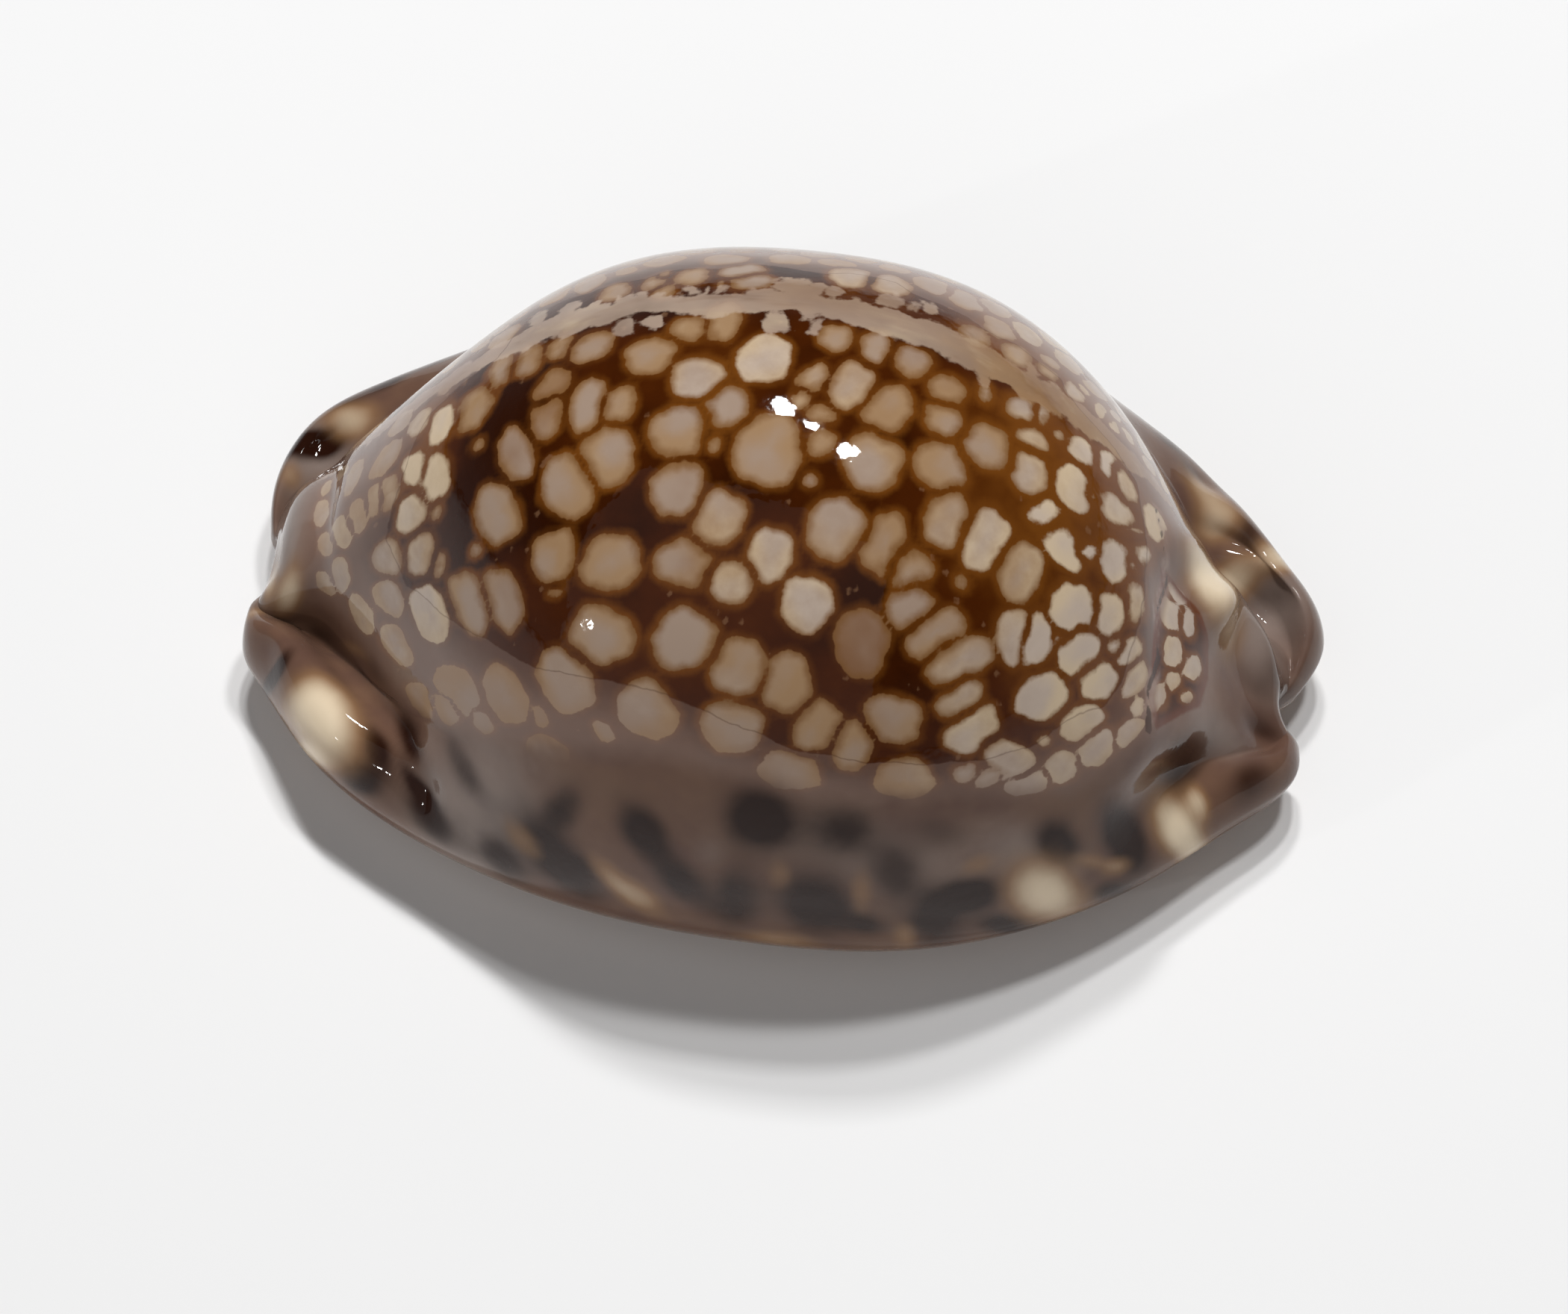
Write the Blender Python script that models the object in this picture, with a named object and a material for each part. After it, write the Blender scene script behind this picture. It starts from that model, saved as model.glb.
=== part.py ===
"""Reticulated cowrie shell.

One hollow, rolled shell that rests on its base. A flat slab of cells is rolled round the length of the
shell: its outer layer becomes the glossy outside, its inner layer the wall of the cavity, and its two long
edges the toothed lips of the slit. Each station along the length is drawn through four rails: the crest,
the margin on the lip side, the margin on the columella side and the slit.

+X points from the front end to the spire end, +Y to the outer lip side and +Z up. The origin is on the
resting plane, under the middle of the shell.
"""
import math

import bmesh
import bpy
import numpy as np

MM = 0.001

# Driving sizes, in millimetres.
LENGTH = 65.0
WIDTH = 41.0
HEIGHT = 31.8
SLIT_WIDTH = 2.6
LIP_ROUNDING = 1.3
LIP_DEPTH = 2.9
TOOTH_COUNT = 24
TOOTH_HEIGHT = 0.6
REST_DEPTH = 0.12

# The slit narrows towards both ends, from this station on and by this share.
NARROWS_FROM = 0.88
NARROWING = 0.3

# Stations along the length, and the rails at each of them. Along and across are in halves of the length
# and the width, and height is in heights.
STATIONS = (-1.0, -0.94, -0.84, -0.7, -0.5, -0.25, 0.0, 0.25, 0.5, 0.7, 0.84, 0.94, 1.0)
CREST = dict(
    along=(-.957, -.915, -.82, -.665, -.455, -.22, 0, .22, .44, .615, .735, .835, .925),
    across=(.075, .07, .05, .03, .01, 0, 0, 0, 0, .015, .065, .01, -.045),
    height=(.19, .265, .43, .67, .86, .965, 1, .97, .865, .69, .45, .275, .185))
LIP_MARGIN = dict(
    along=(-.975, -.993, -.965, -.85, -.61, -.30, 0, .30, .585, .79, .915, .993, .94),
    across=(.145, .29, .51, .69, .875, .97, .99, .97, .865, .66, .44, .20, .018),
    height=(.12, .12, .13, .15, .18, .20, .21, .20, .185, .16, .145, .13, .12))
COLUMELLA_MARGIN = dict(
    along=(-.97, -.99, -.945, -.82, -.575, -.28, 0, .29, .56, .75, .88, .965, .96),
    across=(-.02, -.16, -.31, -.55, -.805, -.955, -1, -.965, -.805, -.585, -.385, -.215, -.09),
    height=(.12, .12, .13, .15, .18, .20, .21, .20, .185, .16, .145, .13, .12))
SLIT = dict(
    along=(-.95, -.89, -.80, -.67, -.48, -.24, 0, .24, .48, .67, .80, .88, .92),
    across=(.08, .095, .12, .145, .165, .17, .165, .14, .10, .05, 0, -.035, -.05),
    height=(.066, .045, .027, .015, .006, 0, 0, 0, .006, .015, .027, .045, .066))

# The cavity inside the wall, drawn in the same way.
CAVITY_CREST = dict(
    along=(-.94, -.88, -.775, -.63, -.425, -.20, 0, .20, .415, .575, .69, .80, .895),
    across=(.075, .07, .05, .03, .01, 0, 0, 0, 0, .015, .065, .01, -.045),
    height=(.14, .205, .365, .61, .81, .917, .951, .92, .813, .63, .385, .22, .135))
CAVITY_LIP_SIDE = dict(
    along=(-.93, -.89, -.80, -.67, -.48, -.24, 0, .24, .48, .66, .80, .88, .90),
    across=(.14, .165, .25, .47, .69, .79, .815, .79, .68, .44, .19, .055, .003),
    height=(.105, .135, .165, .19, .215, .23, .235, .23, .215, .19, .165, .135, .105))
CAVITY_COLUMELLA_SIDE = dict(
    along=(-.93, -.89, -.80, -.67, -.48, -.24, 0, .24, .48, .66, .80, .885, .91),
    across=(.015, .01, -.08, -.31, -.60, -.76, -.81, -.78, -.61, -.37, -.19, -.11, -.115),
    height=(.105, .135, .165, .19, .215, .23, .235, .23, .215, .19, .165, .135, .105))

# How far the low margin stands out beyond the dome's foot at each station, as a share of the half width.
# Where it stands out, the dome comes down steeper, to a valley behind a rounded roll of callus.
LIP_BRIM = (0, .20, .36, .34, .14, .01, 0, .01, .12, .30, .42, .26, 0)
COLUMELLA_BRIM = (0, .24, .46, .44, .17, .01, 0, 0, .04, .12, .20, .14, 0)
BRIM_STARTS = 54.0
BRIM_STEEPENING = 1.3
VALLEY_SHARPNESS = 6
ROLL_STARTS = 60.0
ROLL_HEIGHT = 7.0

# Swellings and hollows of the callus on the upper side: along, across, half length, half width, turn in
# degrees and height, in millimetres.
SWELLINGS = (
    # front end, columella side: the lobe, the two pits in the groove behind it and the hollow at its tip
    (-25.6, -11.4, 3.4, 2.2, -45, 0.9),
    (-20.6, -11.4, 1.6, 0.8, -50, -0.6),
    (-18.9, -15.1, 1.5, 0.8, -50, -0.6),
    (-30.2, -6.4, 1.6, 1.1, -60, -0.5),
    # front end: collar over the channel, the furrow behind it and the knob at its corner
    (-29.4, 1.6, 4.2, 1.0, 95, 0.55),
    (-27.4, 1.4, 4.4, 0.9, 95, -0.45),
    (-30.6, -2.0, 1.0, 0.9, 0, 0.55),
    # front end, lip side: pit behind the rim
    (-29.2, 9.2, 1.6, 1.1, 48, -0.9),
    # spire end: knob, sunken spire, ridge down to the channel, the dished lobe and the fold above it
    (24.9, 1.4, 2.0, 1.7, 60, 1.0),
    (23.6, -4.4, 2.8, 1.4, 85, 0.35),
    (28.0, 1.5, 2.8, 1.0, -64, 1.1),
    (28.3, 6.0, 2.6, 1.9, -55, -1.2),
    (26.2, 8.8, 2.4, 0.8, -13, -0.7),
    (24.4, 13.0, 1.5, 1.3, -50, -0.45),
    # spire end, columella side: a small dent near the tip
    (28.9, -3.4, 1.0, 0.9, 0, -0.45),
)

# Ledges of the callus, laid out like the swellings: raised to the left of the turn, sunk to the right.
LEDGES = (
    (23.6, 2.4, 3.0, 1.2, 62, 0.6),
    (21.8, -4.4, 4.6, 1.2, 93, 0.8),
    (22.9, -9.4, 4.4, 1.5, 52, 0.65),
    (-22.8, -8.4, 5.0, 1.2, -50, 0.45),
)

# The relief fades out just past the margin, and this brings a ledge to its full height.
RELIEF_ENDS = 92.0
RELIEF_FADE = 16.0
LEDGE_PEAK = 2.33

# Rows of the slab from the crest round to the edge of the slit, in degrees, on each side.
ROWS = (0, 9, 18, 27, 36, 45, 53, 60, 67, 74, 80, 85, 90, 98, 108, 120, 133, 144, 151, 157, 163, 169, 175, 180)
TEETH_START = 148.0
TEETH_FADE = 12.0
LIP_STARTS = 162.0
END_CELLS = 5
TOOTHED_FROM = -0.88
TOOTHED_TO = 0.86
CELLS_PER_TOOTH = 4

SHELL_BROWN = (0.21, 0.09, 0.035, 1.0)


def rail_value(values, station):
    """Smooth value at a station: the natural cubic through a rail's values."""
    knots = np.asarray(STATIONS)
    values = np.asarray(values, dtype=float)
    gaps = np.diff(knots)
    count = len(knots)
    system = np.eye(count)
    right = np.zeros(count)
    slopes = np.diff(values) / gaps
    for i in range(1, count - 1):
        system[i, i - 1:i + 2] = gaps[i - 1], 2 * (gaps[i - 1] + gaps[i]), gaps[i]
        right[i] = 6 * (slopes[i] - slopes[i - 1])
    bend = np.linalg.solve(system, right)
    k = np.clip(np.searchsorted(knots, station) - 1, 0, count - 2)
    a = (knots[k + 1] - station) / gaps[k]
    b = 1 - a
    straight = a * values[k] + b * values[k + 1]
    return straight + ((a ** 3 - a) * bend[k] + (b ** 3 - b) * bend[k + 1]) * gaps[k] ** 2 / 6


def rail_points(rail, station):
    """Points of a rail in millimetres."""
    return np.stack([rail_value(rail["along"], station) * LENGTH / 2,
                     rail_value(rail["across"], station) * WIDTH / 2,
                     rail_value(rail["height"], station) * HEIGHT], axis=-1)


def ease(value):
    """Smooth step from 0 to 1."""
    value = np.clip(value, 0, 1)
    return value * value * (3 - 2 * value)


def level_off(value):
    """Follows small values and levels off at 1."""
    return value / (1 + value ** VALLEY_SHARPNESS) ** (1 / VALLEY_SHARPNESS)


def lip_edge(station, lip_side):
    """Foot of the slit's wall on one side."""
    edge = rail_points(SLIT, station)
    narrowed = NARROWING * ease((np.abs(station) - NARROWS_FROM) / (1 - NARROWS_FROM))
    opening = SLIT_WIDTH / 2 * (1 - narrowed)
    edge[..., 1] += np.where(lip_side, opening, -opening)
    return edge


def plain_skin(station, angle):
    """Outside of the shell without teeth or relief. The angle, in degrees, is 0 on the crest, positive on
    the lip side, 90 on the margin and 180 in the slit."""
    lip_side = angle >= 0
    side = lip_side[..., None]
    turn = np.radians(np.abs(angle))
    cosine = np.abs(np.cos(turn))
    crest = rail_points(CREST, station)
    margin = np.where(side, rail_points(LIP_MARGIN, station), rail_points(COLUMELLA_MARGIN, station))
    brim = np.where(lip_side, rail_value(LIP_BRIM, station), rail_value(COLUMELLA_BRIM, station))
    steepness = 1 + BRIM_STEEPENING * brim
    down = level_off(np.abs(angle) / 90 * steepness) / level_off(steepness) * math.pi / 2
    reach = (1 - brim) * np.sin(down) + brim * ease((np.abs(angle) - BRIM_STARTS) / (90 - BRIM_STARTS))
    drop = np.cos(np.minimum(down, math.pi / 2)) ** 0.92
    swell = np.clip((np.abs(angle) - ROLL_STARTS) / (90 - ROLL_STARTS), 0, 1)
    roll = ROLL_HEIGHT * brim * np.sin(swell * math.pi)
    dome = np.stack([margin[..., 0] + (crest[..., 0] - margin[..., 0]) * cosine ** 1.3,
                     crest[..., 1] + (margin[..., 1] - crest[..., 1]) * reach,
                     margin[..., 2] + (crest[..., 2] - margin[..., 2]) * drop + roll], axis=-1)
    edge = lip_edge(station, lip_side)
    outward = np.where(lip_side, LIP_ROUNDING, -LIP_ROUNDING)
    under = np.clip((np.abs(angle) - 90) / (LIP_STARTS - 90), 0, 1) * math.pi / 2
    shoulder = edge[..., 1] + outward
    sink = 1 - (1 - np.sin(under)) ** 1.6
    base = np.stack([margin[..., 0] + (edge[..., 0] - margin[..., 0]) * np.sin(under) ** 1.6,
                     shoulder + (margin[..., 1] - shoulder) * np.cos(under),
                     margin[..., 2] + (edge[..., 2] - margin[..., 2]) * sink], axis=-1)
    round_turn = np.clip((np.abs(angle) - LIP_STARTS) / (180 - LIP_STARTS), 0, 1) * math.pi / 2
    base[..., 1] -= outward * np.sin(round_turn)
    base[..., 2] += LIP_ROUNDING * (1 - np.cos(round_turn))
    return np.where((np.abs(angle) <= 90)[..., None], dome, base)


def cavity_wall(station, angle):
    """Inside of the wall, over the same stations and angles as the outside."""
    lip_side = angle >= 0
    side = lip_side[..., None]
    turn = np.radians(np.abs(angle))
    cosine = np.abs(np.cos(turn))
    crest = rail_points(CAVITY_CREST, station)
    wall = np.where(side, rail_points(CAVITY_LIP_SIDE, station), rail_points(CAVITY_COLUMELLA_SIDE, station))
    roof = np.stack([wall[..., 0] + (crest[..., 0] - wall[..., 0]) * cosine ** 1.3,
                     crest[..., 1] + (wall[..., 1] - crest[..., 1]) * np.sin(turn),
                     wall[..., 2] + (crest[..., 2] - wall[..., 2]) * cosine ** 0.92], axis=-1)
    edge = lip_edge(station, lip_side)
    lift = np.minimum(LIP_DEPTH, (wall[..., 2] - edge[..., 2]) * 0.9)
    outward = np.where(lip_side, LIP_ROUNDING, -LIP_ROUNDING) * ease(np.abs(wall[..., 1] - edge[..., 1]) / 2)
    under = np.clip((np.abs(angle) - 90) / (LIP_STARTS - 90), 0, 1) * math.pi / 2
    shoulder = edge[..., 1] + outward
    floor = np.stack([wall[..., 0] + (edge[..., 0] - wall[..., 0]) * np.sin(under) ** 1.6,
                      shoulder + (wall[..., 1] - shoulder) * np.cos(under),
                      wall[..., 2] + (edge[..., 2] + lift - wall[..., 2]) * np.sin(under)], axis=-1)
    round_turn = np.clip((np.abs(angle) - LIP_STARTS) / (180 - LIP_STARTS), 0, 1) * math.pi / 2
    floor[..., 1] -= outward * np.sin(round_turn)
    floor[..., 2] -= 0.35 * LIP_ROUNDING * (1 - np.cos(round_turn))
    return np.where((np.abs(angle) <= 90)[..., None], roof, floor)


def outward_normals(station, angle):
    """Unit normals of the plain skin."""
    step = 1e-3
    degree = 0.2
    along = plain_skin(station + step, angle) - plain_skin(station - step, angle)
    near = np.where(angle >= 0, np.maximum(angle - degree, 0), np.minimum(angle + degree, -1e-9))
    far = np.where(angle >= 0, np.minimum(angle + degree, 180), np.maximum(angle - degree, -180))
    round_it = np.where((angle >= 0)[..., None], 1, -1) * (plain_skin(station, far) - plain_skin(station, near))
    normals = np.cross(along, round_it)
    return normals / np.maximum(np.linalg.norm(normals, axis=-1, keepdims=True), 1e-12)


def placed(points, along, across, half_length, half_width, turn):
    """Places of the points in the frame of one swelling or ledge, in its half lengths and half widths."""
    cosine = math.cos(math.radians(turn))
    sine = math.sin(math.radians(turn))
    x = points[..., 0] - along
    y = points[..., 1] - across
    return (x * cosine + y * sine) / half_length, (y * cosine - x * sine) / half_width


def relief(points, angle):
    """Height of the callus relief above the plain skin."""
    height = np.zeros(points.shape[:-1])
    for *place, rise in SWELLINGS:
        x, y = placed(points, *place)
        height += rise * np.exp(-x ** 2 - y ** 2)
    for *place, rise in LEDGES:
        x, y = placed(points, *place)
        height += rise * LEDGE_PEAK * y * np.exp(-x ** 2 - y ** 2)
    return height * ease((RELIEF_ENDS - np.abs(angle)) / RELIEF_FADE)


def tooth_gaps(station, angle):
    """Depth of the furrows that part the teeth on both lips of the slit."""
    pitch = (TOOTHED_TO - TOOTHED_FROM) / TOOTH_COUNT
    wave = np.cos(2 * math.pi * (station - TOOTHED_FROM) / pitch)
    furrow = 0.5 + 0.5 * np.where(angle >= 0, wave, -wave)
    reach = ease((np.abs(angle) - TEETH_START) / TEETH_FADE)
    fade = ease((station - TOOTHED_FROM) / pitch) * ease((TOOTHED_TO - station) / pitch)
    return TOOTH_HEIGHT * furrow * reach * fade


def outer_skin(station, angle):
    """Outside of the shell, with relief, teeth and the flat places it rests on."""
    points = plain_skin(station, angle)
    normals = outward_normals(station, angle)
    points = points + normals * relief(points, angle)[..., None]
    resting = np.maximum(points[..., 2] - REST_DEPTH, 0)
    points[..., 2] = np.where(np.abs(angle) > 90, resting, points[..., 2])
    return points - normals * tooth_gaps(station, angle)[..., None]


def slab_stations():
    """Stations of the slab's cross lines: even over the teeth, and closer at the ends."""
    front = np.linspace(-1, TOOTHED_FROM, END_CELLS + 1)[:-1]
    middle = np.linspace(TOOTHED_FROM, TOOTHED_TO, TOOTH_COUNT + 1)
    back = np.linspace(TOOTHED_TO, 1, END_CELLS + 1)[1:]
    return np.concatenate([front, middle, back])


def slab_angles():
    """Angles of the slab's long lines, from one lip round to the other."""
    rows = np.asarray(ROWS, dtype=float)
    return np.concatenate([-rows[::-1], rows[1:]])


def flat_slab():
    """A flat slab of cells, one cell high, with the outer layer's lip bands cut finer along the teeth."""
    stations = slab_stations()
    angles = slab_angles()
    slab = bmesh.new()
    bmesh.ops.create_grid(slab, x_segments=len(stations) - 1, y_segments=len(angles) - 1, size=1)
    for vert in slab.verts:
        column = round((vert.co.x + 1) / 2 * (len(stations) - 1))
        row = round((vert.co.y + 1) / 2 * (len(angles) - 1))
        vert.co = (stations[column], angles[row], 0)
    top = bmesh.ops.extrude_face_region(slab, geom=slab.faces[:])
    for item in top["geom"]:
        if isinstance(item, bmesh.types.BMVert):
            item.co.z = 1
    toothed = []
    for edge in slab.edges:
        a, b = (vert.co for vert in edge.verts)
        inside = TOOTHED_FROM - 1e-4 < min(a.x, b.x) and max(a.x, b.x) < TOOTHED_TO + 1e-4
        if inside and a.z == b.z == 0 and a.y == b.y and abs(a.y) >= TEETH_START - 5:
            toothed.append(edge)
    bmesh.ops.subdivide_edges(slab, edges=toothed, cuts=CELLS_PER_TOOTH - 1, use_grid_fill=True)
    return slab


def roll_up(slab):
    """Roll the flat slab into the shell."""
    places = np.array([vert.co for vert in slab.verts])
    station, angle, layer = places.T
    outside = outer_skin(station, angle)
    inside = cavity_wall(station, angle)
    rolled = np.where((layer < 0.5)[:, None], outside, inside) * MM
    for vert, place in zip(slab.verts, rolled):
        vert.co = place


def shell_material():
    """Glossy brown shell."""
    material = bpy.data.materials.new("shell")
    material.use_nodes = True
    surface = material.node_tree.nodes["Principled BSDF"]
    surface.inputs["Base Color"].default_value = SHELL_BROWN
    surface.inputs["Roughness"].default_value = 0.12
    surface.inputs["Metallic"].default_value = 0.0
    material.diffuse_color = SHELL_BROWN
    return material


def make_shell(collection):
    """The shell, one solid."""
    slab = flat_slab()
    roll_up(slab)
    bmesh.ops.recalc_face_normals(slab, faces=slab.faces)
    mesh = bpy.data.meshes.new("shell")
    slab.to_mesh(mesh)
    slab.free()
    mesh.shade_smooth()
    mesh.materials.append(shell_material())
    collection.objects.link(bpy.data.objects.new("shell", mesh))


def main():
    for item in list(bpy.data.objects):
        bpy.data.objects.remove(item)
    collection = bpy.data.collections.new("reticulated_cowrie_shell")
    bpy.context.scene.collection.children.link(collection)
    make_shell(collection)


main()
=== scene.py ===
"""Reticulated cowrie shell.

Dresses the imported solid: the shell is rolled again from the same rails at a finer grain, its markings are
laid out on the unrolled skin, and one glossy enamel carries them. It lies on a pale floor in soft light.

Markings are placed by two distances in millimetres: along the shell, from the front end to the spire end,
and round it from the crest, positive towards the outer lip.
"""
import math

import bmesh
import bpy
import numpy as np
from bpy.props import FloatProperty, FloatVectorProperty, IntProperty, PointerProperty
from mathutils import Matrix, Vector


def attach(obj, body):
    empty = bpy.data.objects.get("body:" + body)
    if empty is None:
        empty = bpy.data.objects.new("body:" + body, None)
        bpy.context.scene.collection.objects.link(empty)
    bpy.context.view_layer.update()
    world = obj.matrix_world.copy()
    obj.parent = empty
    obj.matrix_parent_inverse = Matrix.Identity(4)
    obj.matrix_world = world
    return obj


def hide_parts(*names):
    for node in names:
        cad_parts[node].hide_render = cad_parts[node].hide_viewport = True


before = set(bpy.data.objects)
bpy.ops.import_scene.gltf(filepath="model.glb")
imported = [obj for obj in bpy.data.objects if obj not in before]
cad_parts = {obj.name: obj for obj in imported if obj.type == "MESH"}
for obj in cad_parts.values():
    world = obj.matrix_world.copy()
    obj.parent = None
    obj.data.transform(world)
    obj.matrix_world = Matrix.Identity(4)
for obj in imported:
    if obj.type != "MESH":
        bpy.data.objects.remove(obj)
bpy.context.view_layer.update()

bl_info = {
    "name": "Reticulated cowrie shell",
    "version": (1, 0, 0),
    "blender": (4, 5, 0),
    "location": "3D View > Sidebar > Cowrie",
    "description": "Adds a reticulated cowrie shell and a soft studio around it",
    "category": "Add Mesh",
}

MM = 0.001

# Stations along the length, and the rails at each of them. Along and across are in halves of the length
# and the width, and height is in heights.
STATIONS = (-1.0, -0.94, -0.84, -0.7, -0.5, -0.25, 0.0, 0.25, 0.5, 0.7, 0.84, 0.94, 1.0)
CREST = dict(
    along=(-.957, -.915, -.82, -.665, -.455, -.22, 0, .22, .44, .615, .735, .835, .925),
    across=(.075, .07, .05, .03, .01, 0, 0, 0, 0, .015, .065, .01, -.045),
    height=(.19, .265, .43, .67, .86, .965, 1, .97, .865, .69, .45, .275, .185))
LIP_MARGIN = dict(
    along=(-.975, -.993, -.965, -.85, -.61, -.30, 0, .30, .585, .79, .915, .993, .94),
    across=(.145, .29, .51, .69, .875, .97, .99, .97, .865, .66, .44, .20, .018),
    height=(.12, .12, .13, .15, .18, .20, .21, .20, .185, .16, .145, .13, .12))
COLUMELLA_MARGIN = dict(
    along=(-.97, -.99, -.945, -.82, -.575, -.28, 0, .29, .56, .75, .88, .965, .96),
    across=(-.02, -.16, -.31, -.55, -.805, -.955, -1, -.965, -.805, -.585, -.385, -.215, -.09),
    height=(.12, .12, .13, .15, .18, .20, .21, .20, .185, .16, .145, .13, .12))
SLIT = dict(
    along=(-.95, -.89, -.80, -.67, -.48, -.24, 0, .24, .48, .67, .80, .88, .92),
    across=(.08, .095, .12, .145, .165, .17, .165, .14, .10, .05, 0, -.035, -.05),
    height=(.066, .045, .027, .015, .006, 0, 0, 0, .006, .015, .027, .045, .066))
CAVITY_CREST = dict(
    along=(-.94, -.88, -.775, -.63, -.425, -.20, 0, .20, .415, .575, .69, .80, .895),
    across=(.075, .07, .05, .03, .01, 0, 0, 0, 0, .015, .065, .01, -.045),
    height=(.14, .205, .365, .61, .81, .917, .951, .92, .813, .63, .385, .22, .135))
CAVITY_LIP_SIDE = dict(
    along=(-.93, -.89, -.80, -.67, -.48, -.24, 0, .24, .48, .66, .80, .88, .90),
    across=(.14, .165, .25, .47, .69, .79, .815, .79, .68, .44, .19, .055, .003),
    height=(.105, .135, .165, .19, .215, .23, .235, .23, .215, .19, .165, .135, .105))
CAVITY_COLUMELLA_SIDE = dict(
    along=(-.93, -.89, -.80, -.67, -.48, -.24, 0, .24, .48, .66, .80, .885, .91),
    across=(.015, .01, -.08, -.31, -.60, -.76, -.81, -.78, -.61, -.37, -.19, -.11, -.115),
    height=(.105, .135, .165, .19, .215, .23, .235, .23, .215, .19, .165, .135, .105))

# How far the low margin stands out beyond the dome's foot, as a share of the half width.
LIP_BRIM = (0, .20, .36, .34, .14, .01, 0, .01, .12, .30, .42, .26, 0)
COLUMELLA_BRIM = (0, .24, .46, .44, .17, .01, 0, 0, .04, .12, .20, .14, 0)

# Where the brim and its roll start, in degrees from the crest, how much steeper the dome falls above the brim,
# how sharply it turns at its foot, and the height of the roll in millimetres.
BRIM_STARTS = 54.0
BRIM_STEEPENING = 1.3
VALLEY_SHARPNESS = 6
ROLL_STARTS = 60.0
ROLL_HEIGHT = 7.0

# Swellings, hollows and ledges of the callus: along, across, half length, half width, turn in degrees and
# height, in millimetres. A ledge is raised to the left of its turn and sunk to the right.
SWELLINGS = (
    (-25.6, -11.4, 3.4, 2.2, -45, 0.9),
    (-20.6, -11.4, 1.6, 0.8, -50, -0.6),
    (-18.9, -15.1, 1.5, 0.8, -50, -0.6),
    (-30.2, -6.4, 1.6, 1.1, -60, -0.5),
    (-29.4, 1.6, 4.2, 1.0, 95, 0.55),
    (-27.4, 1.4, 4.4, 0.9, 95, -0.45),
    (-30.6, -2.0, 1.0, 0.9, 0, 0.55),
    (-29.2, 9.2, 1.6, 1.1, 48, -0.9),
    (25.0, 1.8, 2.6, 1.1, 72, 1.7),
    (23.6, -4.4, 2.8, 1.4, 85, 0.35),
    (28.0, 1.5, 2.8, 1.0, -64, 1.1),
    (28.3, 6.0, 2.6, 1.9, -55, -1.2),
    (26.2, 8.8, 2.4, 0.8, -13, -0.7),
    (24.4, 13.0, 1.5, 1.3, -50, -0.45),
    (28.9, -3.4, 1.0, 0.9, 0, -0.45),
)
LEDGES = (
    (23.6, 2.4, 3.0, 1.2, 62, 0.45),
    (21.8, -4.4, 4.6, 1.6, 93, 0.25),
    (22.9, -9.4, 4.4, 1.5, 52, 0.65),
    (-22.8, -8.4, 5.0, 1.2, -50, 0.45),
)

# Where the relief ends and over how many degrees it fades, and what brings a ledge's peak to its height.
RELIEF_ENDS = 92.0
RELIEF_FADE = 16.0
LEDGE_PEAK = 2.33

# Curves of the section: how the dome draws in to the crest along the shell and in height, how the base draws
# in to the slit, and how the inside follows it.
END_DRAW = 1.3
DOME_ROUNDNESS = 0.92
BASE_ROUNDNESS = 1.6
INNER_ROUNDING = 0.35
LIP_SHARE = 0.9
CLOSING_WIDTH = 2.0

# Slit and teeth: from which station the slit narrows and by how much, how deep the base is cut flat to rest
# on, where the toothed bands and the lips start in degrees, the stations between which the teeth stand, and
# how narrow the furrows are.
NARROWS_FROM = 0.88
NARROWING = 0.3
REST_DEPTH = 0.12
TEETH_START = 146.0
TEETH_FADE = 14.0
LIP_STARTS = 162.0
TOOTHED_FROM = -0.88
TOOTHED_TO = 0.86
FURROW_SHARPNESS = 1.5

# Grain of the fine skin: cells along, and cells round the outside, through the slit's wall and round the
# cavity. The margin's foot and the lips get rows closer together.
CELLS_ALONG = 260
ROUND_KNOTS = (0, 60, 90, 115, 145, 162, 180)
ROUND_CELLS = (86, 44, 14, 8, 10, 8)
WALL_CELLS = 4
CAVITY_CELLS = 16
WELD_DISTANCE = 2e-6

# Steps for the slope of the skin: in stations and in degrees.
SLOPE_STEP = 1e-3
SLOPE_TURN = 0.2

# Start of the random draws.
SEED = 41

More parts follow.
